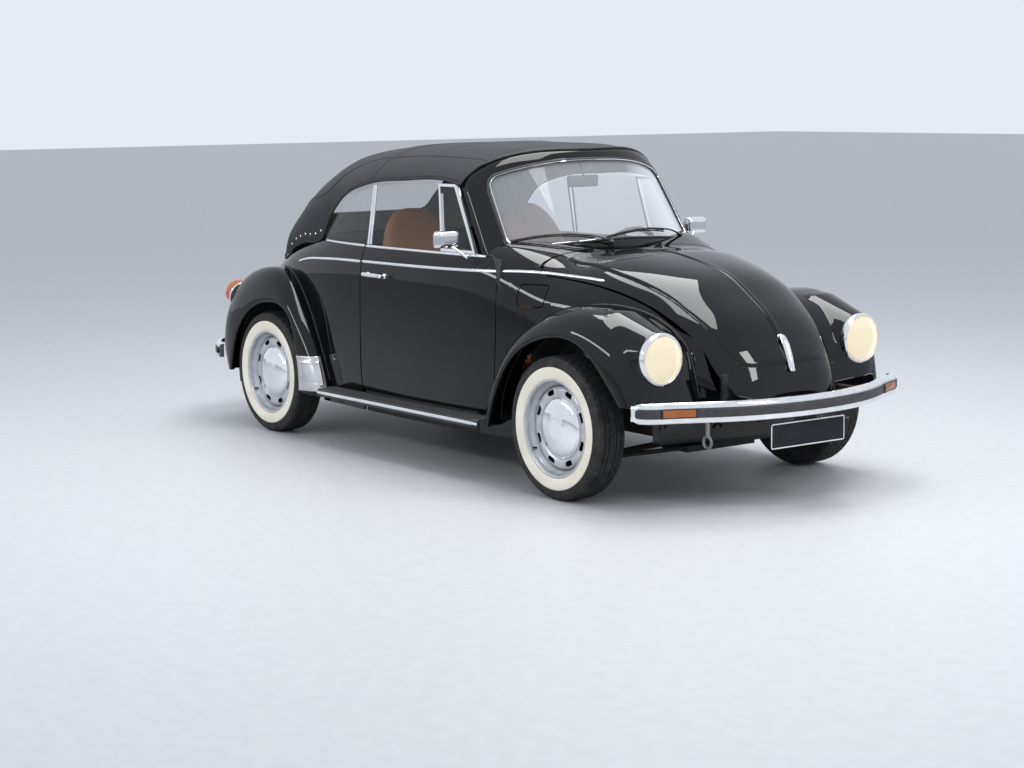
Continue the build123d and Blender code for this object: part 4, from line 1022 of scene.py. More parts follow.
def rear_body_half(bm):
    """Adds the left half of the rear body's skin, from the door to the tail and around the engine lid."""
    hole = DOOR_GAP - HALF_GAP
    door = from_side([(x - hole, z) for x, z in DOOR_REAR])
    belt = from_side([(-391, BELT_Z), (-620, BELT_Z), (-900, BELT_Z), (-1150, BELT_Z)])
    seam = belt[-1]
    sill = lean([-397, -1150, -1488], [-90, -90, -90])
    door_line = smooth(np.concatenate([sill[:1], door]))
    post = straight([sill[1], seam])
    skin_patch(bm, 58, 44, straight(sill[:2]), smooth(belt), door_line, post)
    lid_top = lid_edge(90, 45, 24)
    lid_top[0, 1] = 0
    lid_corner = lid_top[-1]
    split = straight([seam, lid_corner])
    drop = straight([sill[2], lid_corner])
    skin_patch(bm, 34, 44, straight(sill[1:]), split, post, drop)
    crown = straight([(-1150, 0), lid_top[0]])
    skin_patch(bm, 34, 44, split, crown, straight([seam, (-1150, 0)]), smooth(lid_top[::-1]))
    lid_side = lid_edge(45, -45, 40)
    low_x = lid_side[-1, 0]
    bottom = lean([sill[2, 0], low_x], [-90, -90])
    low_drop = straight([bottom[1], lid_side[-1]])
    skin_patch(bm, 44, 44, straight(bottom), smooth(lid_side), drop, low_drop)
    lid_low = lid_edge(-45, -90, 20)
    lid_low[-1, 1] = 0
    end = straight(lean(np.full(30, TAIL_X), np.linspace(-90, 90, 30)))
    under_lid = straight(np.concatenate([lid_low, [(TAIL_X, 0)]]))
    skin_patch(bm, 24, 44, straight(lean([low_x, TAIL_X], [-90, -90])), under_lid, low_drop, end)


bm = bmesh.new()
rear_body_half(bm)
end_cap(bm, TAIL_X, 451.5, -1)
mirrored(bm)
tidy(bm, 0.5)
clear_arch(bm, REAR_AXLE, 406, 578)
face_from(bm, (-1100, 0, 600))
piece("rear_body_skin", bm, [PAINT, SAND], "body", ["rear_body"], **PANEL)

for side_name, side in SIDES.items():
    rear_run = ([(-398, 926), (-560, 924), (-679, 921), (-830, 914), (-964, 904), (-1073, 884)], 90, 3)
    front_run = ([(684, 941), (760, 943), (876, 938), (1000, 930), (1100, 924), (1165, 917)], 70, 3)
    side_strip(f"belt_moulding_{side_name}", [rear_run, front_run], MOULDING, side, "body", BODY_MIDDLE)
    sill = [([(-398, 1001), (-620, 1002), (-830, 1004)], 60, 2)]
    side_strip(f"quarter_sill_trim_{side_name}", sill, SILL_TRIM, side, "body", BODY_MIDDLE, -1)


def lid_place(u, v):
    """The engine lid's place on the tail."""
    a, b = squircle(u, v, LID_POWER)
    y, z = lid_spot(a, b, HALF_GAP)
    return behind(y, z)


skin("engine_lid_skin", 74, 52, lid_place, (-1300, 0, 500), [PAINT, UNDER_AND_SHADE], "engine_lid",
     replaces=["engine_lid"], **PANEL)

# cooling louvres in four banks across the lid, dark strips of painted shade in their openings, a plate lamp
# and a catch
LOUVRE = [(-6, -1), (-5, 3.4), (-2, 4.6), (2, 2.6), (6, -1)]
# painted shade: a flat dark strip at each louvre's lower lip stands for the shade inside the opening
OPENING_SHADE_STRIP = [(-1.6, 0.4), (1.6, 0.4)]
for name, finish, slot, section, half, count, top_z, ends in (
        ("lid_louvres", PAINT, "paint", LOUVRE, 55, 13, 856, 2),
        ("louvre_opening_shades", UNDER_AND_SHADE, None, OPENING_SHADE_STRIP, 50, 9, 849.5, 1)):
    bm = bmesh.new()
    for bank in (-255, -95, 95, 255):
        for row in range(7):
            spots = behind(np.linspace(bank - half, bank + half, count),
                           np.full(count, top_z - row * 15 - abs(bank) * 0.02))
            ribbon(bm, spots, body_form.outward(spots), section, tapered(count, ends))
    face_from(bm, (-1300, 0, 500))
    piece(name, bm, finish, "engine_lid", slot=slot, crisp=50 if slot else 40)
boxes("plate_lamp_hood", [((-1926, -70, 682), (-1830, 70, 728), 9, 4)], PAINT, "engine_lid", slot="paint",
      crisp=60)
boxes("plate_lamp_lens", [((-1922, -52, 678), (-1860, 52, 682), 1.5, 2)], LENS, "engine_lid")
boxes("lid_catch", [((-1964, -22, 508), (-1935, 22, 530), 7, 4)], CHROME, "engine_lid", slot="chrome")

# ---------------------------------------------------------------- fenders

FRONT_FENDER = [
    (186, 500, 522, 700, 465, 785),
    (170, 495, 502, 700, 430, 785),
    (151, 482, 484, 685, 408, 785),
    (130, 478, 484, 655, 396, 785),
    (105, 490, 500, 640, 388, 785),
    (85, 502, 522, 630, 400, 785),
    (68, 518, 545, 612, 415, 783),
    (51, 540, 570, 600, 415, 778),
    (38, 545, 565, 592, 410, 768),
    (25, 520, 532, 590, 415, 752),
    (14, 505, 512, 582, 428, 738),
    (3, 495, 502, 575, 442, 724),
    (-4, 490, 498, 570, 448, 716),
]
REAR_FENDER = [
    (184, 455, 470, 640, 385, 752),
    (171, 520, 545, 640, 362, 758),
    (155, 555, 580, 640, 347, 765),
    (138, 560, 583, 645, 345, 768),
    (120, 545, 565, 655, 347, 770),
    (103, 530, 546, 665, 356, 770),
    (85, 512, 530, 675, 372, 770),
    (68, 470, 492, 690, 396, 770),
    (50, 428, 456, 700, 400, 772),
    (34, 414, 444, 700, 376, 777),
    (18, 422, 452, 698, 360, 780),
    (3, 452, 482, 698, 361, 782),
    (-9, 486, 514, 698, 368, 783),
]
FENDER_INNER_Y = 380.0
FENDER_FOOT = [(1500, 562), (1556, 526), (1625, 486), (1690, 456), (1780, 440), (1960, 436), (1960, 150),
               (1400, 150)]
CROWN_AT = 0.42  # the share of a section's run from the body up to its crown
ROLL = 6.0


class Fender:
    """A wheel arch swept about an axle: sections at angles, each from the body over a crown to the lip."""

    def __init__(self, table, axle):
        rows = np.array(sorted(table), float)
        self.row = natural(rows[:, 0], rows[:, 1:])
        self.low, self.high = rows[0, 0], rows[-1, 0]
        self.axle = axle

    def spot(self, angle, t):
        """The skin at an angle about the axle and t along the section; beyond 1 the lip rolls under."""
        inboard, crown, crown_y, lip, lip_y = self.row(angle).T
        s = np.minimum(t / CROWN_AT, 1)
        quarter = np.radians(90 * np.clip((t - CROWN_AT) / (1 - CROWN_AT), 0, 1))
        over = np.clip((t - 1) / 0.1, 0, 1)
        bead = 3.0 * np.exp(-(((np.degrees(quarter) - 84) / 4.5) ** 2))
        r = np.where(t < CROWN_AT, crown - (crown - inboard) * (1 - s) ** 2,
                     lip + (crown - lip) * np.cos(quarter))
        inner = FENDER_INNER_Y + (crown_y - FENDER_INNER_Y) * s
        outer = crown_y + (lip_y - crown_y) * np.sin(quarter) + bead * 0.4
        y = np.where(t < CROWN_AT, inner, outer)
        turn = over * math.pi * 0.75
        r = r - ROLL * np.sin(turn)
        y = y - ROLL * (1 - np.cos(turn)) - 10 * np.clip((t - 1.1) / 0.05, 0, 1)
        way = np.radians(angle)
        return np.stack([self.axle[0] + r * np.cos(way), y, self.axle[1] + r * np.sin(way)], 1)

    def body_line(self, angles):
        """How far along each section the body's skin is met."""
        near, beyond = np.full(len(angles), -0.25), np.full(len(angles), CROWN_AT + 0.3)
        for _ in range(30):
            middle = (near + beyond) / 2
            outside = body_form.excess(self.spot(angles, middle)) > 0
            beyond = np.where(outside, middle, beyond)
            near = np.where(outside, near, middle)
        return near


LAMP_X, LAMP_Y, LAMP_Z = 1690.0, 582.0, 635.0
POD_RADIUS = 108.0


def pod_push(points):
    """Pushes the fender's front forward to form the pod round the headlamp."""
    reach = np.hypot(points[:, 1] - LAMP_Y, points[:, 2] - LAMP_Z)
    pod = LAMP_X - 8 - 2.9 * np.clip(reach - POD_RADIUS, 0, None)
    blend = 16.0
    gap = np.clip(0.5 + 0.5 * (points[:, 0] - pod) / blend, 0, 1)
    pushed = pod + (points[:, 0] - pod) * gap + blend * gap * (1 - gap)
    out = points.copy()
    out[:, 0] = np.where((reach < 190) & (points[:, 0] > 1400), np.maximum(points[:, 0], pushed),
                         points[:, 0])
    return out


LIP_SHARE = 0.86  # the share of the rows that is spent before the lip
LIP_RUN = 0.15


def fender_half(bm, fender, columns, rows, grade, pod=False):
    """Adds the left fender from the body's skin to its rolled lip, with or without the lamp's pod."""
    angles = fender.low + (fender.high - fender.low) * grade(np.linspace(0, 1, columns + 1))
    start = fender.body_line(angles) - 0.004

    def place(u, v):
        i = np.rint(u * columns).astype(int)
        tail = np.clip((v - LIP_SHARE) / 0.14, 0, 1)
        t = np.where(v < LIP_SHARE, start[i] + (1.0 - start[i]) * v / LIP_SHARE, 1.0 + LIP_RUN * tail)
        points = fender.spot(angles[i], t)
        return pod_push(points) if pod else points

    patch(bm, columns, rows, place)


front_fender = Fender(FRONT_FENDER, FRONT_AXLE)
rear_fender = Fender(REAR_FENDER, REAR_AXLE)
FRONT_STEPS = [0, 10, 18, 24, 30, 36, 42, 48, 55, 66, 80, 96, 112, 128, 144, 160, 176, 190]
bm = bmesh.new()
fender_half(bm, front_fender, 190, 56, graded(FRONT_STEPS), True)
cut_outline(bm, FENDER_FOOT, 0, 2, lambda c: c.x > 1480 and c.z < 620)
face_from(bm, (1210, 500, 250))
mirrored(bm)
piece("front_fender_skins", bm, PAINT, "body", ["front_fenders"], "paint", wall=1.6, crisp=80)
bm = bmesh.new()
fender_half(bm, rear_fender, 136, 46, graded([0, 1]))
face_from(bm, (-1210, 500, 250))
mirrored(bm)
piece("rear_fender_skins", bm, PAINT, "body", ["rear_fenders"], "paint", wall=1.6, crisp=80)

# the rubber welt in the joint between fender and body
for name, fender, low, high in (("front", front_fender, 17, 184), ("rear", rear_fender, 0, 182)):
    bm = bmesh.new()
    angles = np.linspace(low, high, 150)
    spots = fender.spot(angles, fender.body_line(angles) + 0.004)
    tube(bm, spots, 3.4, 8, up=(0, 1, 0))
    mirrored(bm)
    bmesh.ops.recalc_face_normals(bm, faces=bm.faces)
    piece(f"{name}_fender_welts", bm, RUBBER, "body")

# wheelhouses behind the arches
for name, axle, radius, inner_y, outer_y, low_z in (
        ("front", FRONT_AXLE, 444, 452, 600, 285), ("rear", REAR_AXLE, 404, 578, 690, 215)):
    bm = bmesh.new()
    wall = [(inner_y, r) for r in (0.01, radius * 0.4, radius * 0.75, radius - 24)]
    wall = wall + [(inner_y + 7, radius - 7), (inner_y + 24, radius)]
    wall = wall + [(y, radius) for y in np.linspace(inner_y + 50, outer_y, 6)]
    turned(bm, wall, 96, (axle[0], 0, axle[1]))
    geom = bm.verts[:] + bm.edges[:] + bm.faces[:]
    bmesh.ops.bisect_plane(bm, geom=geom, plane_co=(0, 0, low_z), plane_no=(0, 0, -1), clear_outer=True)
    mirrored(bm)
    piece(f"{name}_wheelhouses", bm, UNDER_AND_SHADE, "body", wall=1.5)

# ---------------------------------------------------------------- inner structure behind the panels

APRON_HALF, APRON_TURN_Y = 560, 380.0


def apron_place(u, v):
    """The apron under the nose, swept back towards the fenders."""
    y = APRON_HALF * (2 * u - 1)
    x = 1785 - 113 * np.minimum(np.abs(y) / APRON_TURN_Y, 1) ** 2 - 26 * (1 - v) ** 2
    return np.stack([x, y, 264 + 236 * v + 10 * (1 - v) * (y / APRON_HALF) ** 4], 1)


skin("front_apron", 64, 12, apron_place, (1500, 0, 380), PAINT, "body", wall=1.5, crisp=60)


BULKHEAD_HALF, BULKHEAD_LOW_Z = 640, 216


def bulkhead(name, x, high):
    """An upright plate across the car, its edge following the body's skin inside the panels."""
    bm = bmesh.new()

    def place(u, v):
        edge = body_form.around(np.full_like(u, x), -90 + 180 * v, np.ones_like(u))
        middle = np.array([x, 0.0, 600.0])
        spots = middle + (edge - middle) * (1 - u)[:, None] * 0.965
        spots[:, 1] = np.minimum(spots[:, 1], BULKHEAD_HALF)
        spots[:, 2] = np.clip(spots[:, 2], BULKHEAD_LOW_Z, high)
        return spots

    patch(bm, 6, 60, place)
    mirrored(bm)
    close_up(bm)
    face_from(bm, (x - 1000, 0, 600))
    return piece(name, bm, UNDER_AND_SHADE, "body", wall=12, crisp=50)


bulkhead("front_bulkhead", 862, 985)
bulkhead("rear_bulkhead", -1130, 1000)
TUB = [((862, -440, 392), (1786, 440, 402), 4, 2), ((1770, -330, 398), (1786, 330, 560), 4, 2)]
boxes("luggage_tub", TUB, CARPET, crisp=50)
WELL = [((-1126, -540, 880), (-905, 540, 892), 5, 2), ((-1126, -500, 560), (-1096, 500, 885), 8, 2)]
boxes("hood_well", WELL, CARPET, crisp=50)

# ---------------------------------------------------------------- windscreen

SCREEN_BACK = 28.0


def screen_spot(y, z, out=0.0):
    """The place on the windscreen's outer face at y and z, moved out from the centre of its curve."""
    y, z = np.asarray(y, float), np.asarray(z, float)
    radius = 815 - (z - 1034) * 75 / 308
    centre = 790 - 270 / 410 * (z - 1040) - radius
    return np.stack([centre + np.sqrt((radius + out) ** 2 - y**2), y, z], 1)


def hood_front(y):
    """Where the hood's front edge crosses the windscreen's frame."""
    x = np.full_like(y, 400.0)
    for _ in range(40):
        z = hood_form.above(x, y)[:, 2]
        x = screen_spot(y, z, 12 - SCREEN_BACK)[:, 0]
    return x, z


def screen_arch(half, side_z, top_z):
    """The height of the windscreen's upper edge over y."""
    return lambda y: side_z + (top_z - side_z) * (1 - np.abs(y / half) ** 2.6)


def screen_loop(half_low, half_high, low_z, rise, arch):
    """An outline over the windscreen as y and z; outlines of every size have matching points."""
    across = np.linspace(-1, 1, 60)
    low = np.stack([across * half_low, low_z + rise * (1 - np.abs(across) ** 1.5)], 1)
    top = np.stack([-across * half_high, arch(-across * half_high)], 1)
    edges = [low, np.array([low[-1], top[0]]), top, np.array([top[-1], low[0]])]
    corner = 50  # how far before its end each edge starts to turn
    points = []
    for edge, following, count in zip(edges, edges[1:] + edges[:1], (34, 20, 34, 20)):
        path, onward = straight(edge), straight(following)
        trim = corner / np.linalg.norm(np.diff(edge, axis=0), axis=1).sum()
        trim_on = corner / np.linalg.norm(np.diff(following, axis=0), axis=1).sum()
        points.extend(path(np.linspace(trim, 1 - trim, count)))
        start, end, turn = path(np.array([1 - trim]))[0], onward(np.array([trim_on]))[0], edge[-1]
        for t in np.linspace(0, 1, 10)[1:-1]:
            points.append((1 - t) ** 2 * start + 2 * t * (1 - t) * turn + t**2 * end)
    return np.array(points)


glass_loop = screen_loop(540, 512, 1030, 34, screen_arch(512, 1342, 1421))
outer_loop = screen_loop(620, 583, 962, 12, lambda y: hood_front(y)[1] - 6)
loop_count = len(glass_loop)
FRAME_SECTION = [(0.02, -26), (0.0, -12), (0.0, -3.5), (0.06, -0.6), (0.16, 1.2), (0.45, 2.2), (0.75, 1.6),
                 (0.94, -0.4), (1.0, -4), (1.0, -26), (0.5, -28), (0.02, -26)]


def frame_place(u, v):
    """The frame's place: round the glass and across from the glass to the outer edge."""
    i = np.rint(u * loop_count).astype(int) % loop_count
    j = np.rint(v * (len(FRAME_SECTION) - 1)).astype(int)
    share, out = np.array(FRAME_SECTION)[j].T
    spot = glass_loop[i] * (1 - share)[:, None] + outer_loop[i] * share[:, None]
    return screen_spot(spot[:, 0], spot[:, 1], out)


bm = bmesh.new()
patch(bm, loop_count, len(FRAME_SECTION) - 1, frame_place)
close_up(bm)
piece("windscreen_surround", bm, PAINT, "body", ["windscreen_frame"], "paint", crisp=60)

PANE_LOW, PANE_HIGH = 548, 522  # half the pane's lower and upper edge
low_y, high_y = np.linspace(-PANE_LOW, PANE_LOW, 60), np.linspace(-PANE_HIGH, PANE_HIGH, 60)
bottom_edge = np.stack([low_y, 1020 + 34 * (1 - np.abs(low_y / PANE_LOW) ** 1.5)], 1)
top_edge = np.stack([high_y, screen_arch(PANE_HIGH, 1350, 1429)(high_y)], 1)
pane_right, pane_left = straight([bottom_edge[0], top_edge[0]]), straight([bottom_edge[-1], top_edge[-1]])
screen_fill = between(straight(bottom_edge), straight(top_edge), pane_right, pane_left)


def glass_place(u, v):
    """The pane's outer face, let in behind the frame."""
    y, z = screen_fill(u, v).T
    return screen_spot(y, z, -9)


skin("windscreen_pane", 48, 24, glass_place, (0, 0, 1100), SCREEN_GLASS, "body", replaces=["windscreen_glass"],
     slot="glass", wall=4)
bead("windscreen_seal", screen_spot(glass_loop[:, 0], glass_loop[:, 1], -2), 6.5, 10, RUBBER, "rubber", True)
middle_spot = np.array([0.0, 1235.0])
bead_loop = middle_spot + (glass_loop - middle_spot) * [1 - 5 / 520, 1 - 5 / 200]
bead("windscreen_bead", screen_spot(bead_loop[:, 0], bead_loop[:, 1], 1.5), 2.6, 8, CHROME, "chrome", True)

# ---------------------------------------------------------------- soft top

HOOD_EDGE = [(150, 1330), (-182, 1321), (-354, 1312), (-520, 1284), (-624, 1255), (-700, 1214), (-766, 1156),
             (-822, 1090), (-866, 1026), (-905, 1003), (-991, 984)]
BOWS = [455, 330, -90, -500, -860, -1170]


def joint_turn(x):
    """Where the hood's skin meets the body's at each x."""
    near, beyond = np.full(len(x), -60.0), np.full(len(x), 60.0)
    for _ in range(40):
        middle = (near + beyond) / 2
        outside = body_form.excess(hood_form.around(x, middle, np.ones_like(x))) > 0
        beyond = np.where(outside, middle, beyond)
        near = np.where(outside, near, middle)
    return near


front_y = np.concatenate([np.linspace(592, 540, 12), np.linspace(525, 0, 26)])
front_x = hood_front(front_y)[0]
front_map = np.stack([front_x, 90 - hood_form.turn_above(front_x, front_y)], 1)
edge_x, edge_z = np.array(HOOD_EDGE, float).T
edge_map = np.stack([edge_x, 90 - hood_form.turn_beside(edge_x, edge_z)], 1)
tail_x = np.array([-1080.0, -1150.0, -1225.0, -1300.0, -1360.0, -1405.0])
tail_map = np.stack([tail_x, 90 - joint_turn(tail_x) - 2.0], 1)
hood_low = smooth(np.concatenate([front_map[:1], edge_map, tail_map]))
hood_rear = smooth([tail_map[-1], (-1440, 62), (-1466, 35), (-1478, 0)])
hood_fill = between(hood_low, straight([(front_x[-1], 0), (-1478, 0)]), smooth(front_map), hood_rear)


def hood_spot(u, v):
    """The cloth at u back from the windscreen and v up from its lower edge, sagging between the bows."""
    u, v = np.broadcast_arrays(np.asarray(u, float), np.asarray(v, float))
    places = hood_fill(u, v)
    places[:, 1] = np.clip(places[:, 1], 0, None)
    spots = on_skin(hood_form, places)
    rear = on_skin(hood_form, hood_fill(np.ones_like(u), v))
    rear_x = rear[:, 0] - 14 * np.clip(v * 1.5, 0, 1)
    low = body_form.above(rear_x, rear[:, 1])
    low[:, 2] += 3
    drop = (np.clip((u - 0.955) / 0.045, 0, 1) ** 1.6 * np.clip(v * 4, 0, 1))[:, None]
    spots = spots + (low - rear) * drop
    bay = np.clip(np.searchsorted(-np.array(BOWS), -spots[:, 0]) - 1, 0, len(BOWS) - 2)
    fore, aft = np.array(BOWS)[bay], np.array(BOWS)[bay + 1]
    across = np.clip((fore - spots[:, 0]) / (fore - aft), 0, 1)
    x = spots[:, 0]
    sag = np.sin(math.pi * across) ** 2 * (fore - aft) / 420 * 3.0
    sag = sag * np.clip((x + 1300) / 150, 0, 1) * np.clip(v * 5, 0, 1) * np.where(x < 440, 1, 0)
    bow = sum(np.exp(-(((x - bow_x) / 16) ** 2)) for bow_x in BOWS[1:-1]) * np.clip(v * 5, 0, 1)
    pull = 0.8 * np.sin(x * 0.021 + v * 9) * np.sin(v * 23 + x * 0.006)
    pull = pull * np.clip(v * 3, 0, 1) * np.clip(2 - v * 3, 0.15, 1)
    return spots + hood_form.outward(spots) * (bow * 1.8 - sag + pull + 1.5)[:, None]


WINDOW_LOW, WINDOW_HIGH = (-360.0, 1097.0), (360.0, 1290.0)  # y, z
WINDOW_OUTLINE = rounded(WINDOW_LOW, WINDOW_HIGH, 45, 7)
bm = bmesh.new()
patch(bm, 150, 52, hood_spot)
mirrored(bm)
tidy(bm, 0.5)
cut_outline(bm, WINDOW_OUTLINE, 1, 2, lambda c: c.x < -1050 and abs(c.y) < 420 and 1040 < c.z < 1340)
face_from(bm, (-400, 0, 1000))
soft_top = piece("soft_top_cloth", bm, [CLOTH, LINING], "body", ["soft_top"], "hood_cloth", wall=5, crisp=60,
                 lined=True)

SEAM = [(-7, -1), (-6, 1.6), (-2, 2.2), (2, 2.2), (6, 1.6), (7, -1)]
bm = bmesh.new()
u = np.linspace(0.004, 0.995, 150)
v = np.linspace(0.02, 1, 60)
for spots in (hood_spot(u, np.full_like(u, 0.3)), hood_spot(np.full_like(v, 0.435), v)):
    ribbon(bm, spots, hood_form.outward(spots), SEAM)
mirrored(bm)
face_from(bm, (-400, 0, 1000))
piece("hood_seams", bm, CLOTH, "body", slot="hood_cloth", crisp=60)
u, v = np.linspace(0, 1, 200), np.linspace(0, 1, 70)
bead("hood_edge_binding", hood_spot(u, np.zeros_like(u)), 5.5, 8, CLOTH, "hood_cloth")
bead("hood_front_seal", hood_spot(np.full_like(v, 0.0005), v), 7, 10, RUBBER, "rubber")
bead("hood_rear_binding", hood_spot(np.full_like(v, 1.0), v), 6, 8, CLOTH, "hood_cloth")

# the rear window and its seal


def hood_behind(y, z):
    """The hood's rear skin at y and z."""
    start = np.stack([np.full_like(y, -700.0), y, z], 1)
    return hood_form.reach(start, np.array([-1.0, 0.0, 0.0]), 900.0)


def rear_pane(u, v):
    """The rear pane's place, reaching a little behind the cloth."""
    a, b = squircle(u, v, 7)
    return hood_behind(a * 366, (WINDOW_LOW[1] + WINDOW_HIGH[1]) / 2 + b * 102) + [4, 0, 0]


skin("rear_window_pane", 40, 14, rear_pane, (-600, 0, 1100), GLASS, "body", slot="glass", wall=4)
loop = straight(np.array(WINDOW_OUTLINE + WINDOW_OUTLINE[:1]))(np.linspace(0, 1, 141)[:-1])
bead("rear_window_seal", hood_behind(loop[:, 0], loop[:, 1]) + [-1, 0, 0], 6.5, 8, RUBBER, "rubber", True)

# stud fasteners along the hood's lower edge
STUD = [(0, 6.5), (2.4, 6.2), (3.6, 4.6), (4.2, 0.01)]
bm = bmesh.new()
for u_at in np.linspace(0.70, 0.95, 8):
    spot = hood_spot(np.array([u_at]), np.array([0.045]))
    way = hood_form.outward(spot)[0]
    for sign in (1, -1):
        flip = np.array([1, sign, 1])
        turned(bm, STUD, 14, (spot[0] + way) * flip, way * flip, (0.2, 0.1, 1))
close_up(bm)
piece("hood_studs", bm, CHROME, "body", slot="chrome")

# ---------------------------------------------------------------- bumpers and plates

FRONT_X, REAR_X = 2010.0, -2110.0
FRONT_BUMPER = [(0, 0), (-22, 230), (-85, 430), (-190, 640), (-245, 735), (-300, 766)]
REAR_BUMPER = [(0, 0), (15, 250), (60, 460), (130, 590), (215, 668), (310, 720), (370, 740)]
# sections as (up, out) from the bar's middle height and outer face
BAR_SECTION = [(-44, -27), (-44, -9), (-42.5, -4.5), (-39, -1.2), (-34, 0), (-20.5, 0), (-19.4, -1),
               (-19, -4), (18, -4), (18.4, -1), (19.5, 0), (26, -0.3), (33, -2.6), (38.5, -7.5), (41.5, -13),
               (43, -20), (43.4, -26), (41, -28), (-42, -28), (-44, -27)]
STRIP_SECTION = [(-18.6, -5), (-18.6, 0.5), (-17.4, 2.2), (-15, 3), (-6, 3), (-5, 2.2), (-3.6, 2.2),
                 (-2.6, 3), (2.6, 3), (3.6, 2.2), (5, 2.2), (6, 3), (14.6, 3), (16.8, 2.2), (17.8, 0.5),
                 (17.8, -5)]


def along_bumper(bm, tip_x, bends, z, section, start, end, count, ends, swap=1):
    """Adds a section swept along a bumper's outer face from start to end; swap is -1 at the rear."""
    half = [(tip_x + x, y) for x, y in bends]
    plan = smooth([(x, -y) for x, y in reversed(half[1:])] + half)(np.linspace(start, end, count))
    spots = np.stack([plan[:, 0], plan[:, 1], np.full(count, z)], 1)
    ahead = np.gradient(spots, axis=0)
    ahead = ahead / np.linalg.norm(ahead, axis=1)[:, None]
    normals = np.cross(ahead, [0, 0, 1.0]) * swap
    flow = [(up * swap, out) for up, out in section]
    grow = np.maximum(tapered(count, ends), 0.8) if ends else None
    lifts = np.ones(count) if ends else None
    ribbon(bm, spots, normals, flow, grow, lifts)
    return spots, normals


for name, tip_x, bends, z, swap in (("front", FRONT_X, FRONT_BUMPER, 432.0, 1),
                                    ("rear", REAR_X, REAR_BUMPER, 371.5, -1)):
    bm = bmesh.new()
    along_bumper(bm, tip_x, bends, z, BAR_SECTION, 0.0, 1.0, 170, 4, swap)
    tidy(bm)
    cap_ends(bm)
    close_up(bm)
    piece(f"{name}_bumper_bar", bm, CHROME, "body", [f"{name}_bumper"], "chrome", crisp=35)
    bm = bmesh.new()
    along_bumper(bm, tip_x, bends, z, STRIP_SECTION, 0.012, 0.988, 160, 2, swap)
    face_from(bm, (0, 0, z))
    piece(f"{name}_bumper_strip", bm, STRIP, "body", slot="rubber", crisp=35)

# turn indicators let into the front strip
LENS_SECTION = [(-15, 2), (-15, 5), (-13.5, 6.6), (-9, 7.4), (-4.5, 7.8), (0, 8), (4.5, 7.8), (9, 7.4),
                (13.5, 6.6), (15, 5), (15, 2)]
RIM_SECTION = [(-20, 1), (-20, 5), (-18.5, 6.2), (-16.5, 6.2), (-15.5, 4), (15.5, 4), (16.5, 6.2),
               (18.5, 6.2), (20, 5), (20, 1)]
LENS_INSET, FLUTE_DEPTH = 0.0045, 1.0
for side_name, start, end in (("right", 0.0755, 0.164), ("left", 0.836, 0.9245)):
    bm = bmesh.new()
    along_bumper(bm, FRONT_X, FRONT_BUMPER, 431.5, RIM_SECTION, start, end, 40, 0)
    cap_ends(bm)
    close_up(bm)
    piece(f"indicator_rim_{side_name}", bm, PLASTIC, "body", crisp=30)
    bm = bmesh.new()
    spots, normals = along_bumper(bm, FRONT_X, FRONT_BUMPER, 431.5, LENS_SECTION, start + LENS_INSET,
                                  end - LENS_INSET, 61, 0)
    for v in bm.verts:
        nearest = int(np.argmin(np.linalg.norm(spots - np.array(v.co), axis=1)))
        if nearest % 2 and (np.array(v.co) - spots[nearest]).dot(normals[nearest]) > 5.5:
            v.co -= Vector(normals[nearest]) * FLUTE_DEPTH
    cap_ends(bm)
    close_up(bm)
    piece(f"indicator_lens_{side_name}", bm, AMBER, "body", crisp=50)

# brackets, plate carrier and towing eyes
BRACKETS = []
for y in (427, -427):
    BRACKETS += [((1700, y - 13, 408), (1893, y + 13, 448), 6, 3),
                 ((1876, y - 20, 402), (1896, y + 20, 456), 5, 3)]
BRACKETS += [((1926, -60, 262), (1948, 60, 409), 4, 2), ((1926, -60, 398), (1990, 60, 412), 4, 2)]
boxes("bumper_brackets", BRACKETS, UNDER_AND_SHADE, slot="underbody", crisp=50)
bm = bmesh.new()
eye = [(1800 + 24 * math.sin(a), -428.0, 290 + 24 * math.cos(a)) for a in np.linspace(0, math.tau, 33)[:-1]]
tube(bm, eye, 6.5, 10, closed=True, up=(0, 1, 0))
box(bm, (1790, -434, 316), (1810, -422, 424), 4, 3)
close_up(bm)
piece("towing_eye", bm, CAST, "body", slot="cast_metal")
REAR_BRACKETS = [((-2085, y - 12, 350), (-1790, y + 12, 395), 6, 3) for y in (372, -372)]
boxes("rear_bumper_brackets", REAR_BRACKETS, UNDER_AND_SHADE, slot="underbody", crisp=50)

PLATE_X, PLATE_HALF = 1951.5, 216


def number_plate(name, face, z, body, node):
    """A blank pressed plate with a raised border, facing forwards or back."""
    bm = bmesh.new()
    x = face * PLATE_X
    outline = rounded((-PLATE_HALF, z[0]), (PLATE_HALF, z[1]), 11, 5)
    sheet = bm.faces.new([bm.verts.new((x, p[0], p[1])) for p in outline])
    # each ring's width and how far it rises; the border is the third
    lines = [(3.0, 2.2), (2.0, 0), (5.0, 0.6), (2.0, -0.6), (2.0, 0)]
    rings = []
    for thick, depth in lines:
        made = bmesh.ops.inset_individual(bm, faces=[sheet], thickness=thick, depth=0, use_even_offset=True)
        rings.append(made["faces"])
        bmesh.ops.translate(bm, vec=(face * depth, 0, 0), verts=sheet.verts)
    for f in rings[2]:
        f.material_index = 1
    bmesh.ops.recalc_face_normals(bm, faces=bm.faces)
    face_from(bm, (x - face * 500, 0, (z[0] + z[1]) / 2))
    return piece(name, bm, [PLATE, WHITE], body, [node], "plate", wall=1.6, crisp=30)


number_plate("front_number_plate", 1, (253, 363), "body", "front_plate")
number_plate("rear_number_plate", -1, (550, 660), "engine_lid", "rear_plate")

# ---------------------------------------------------------------- lamps

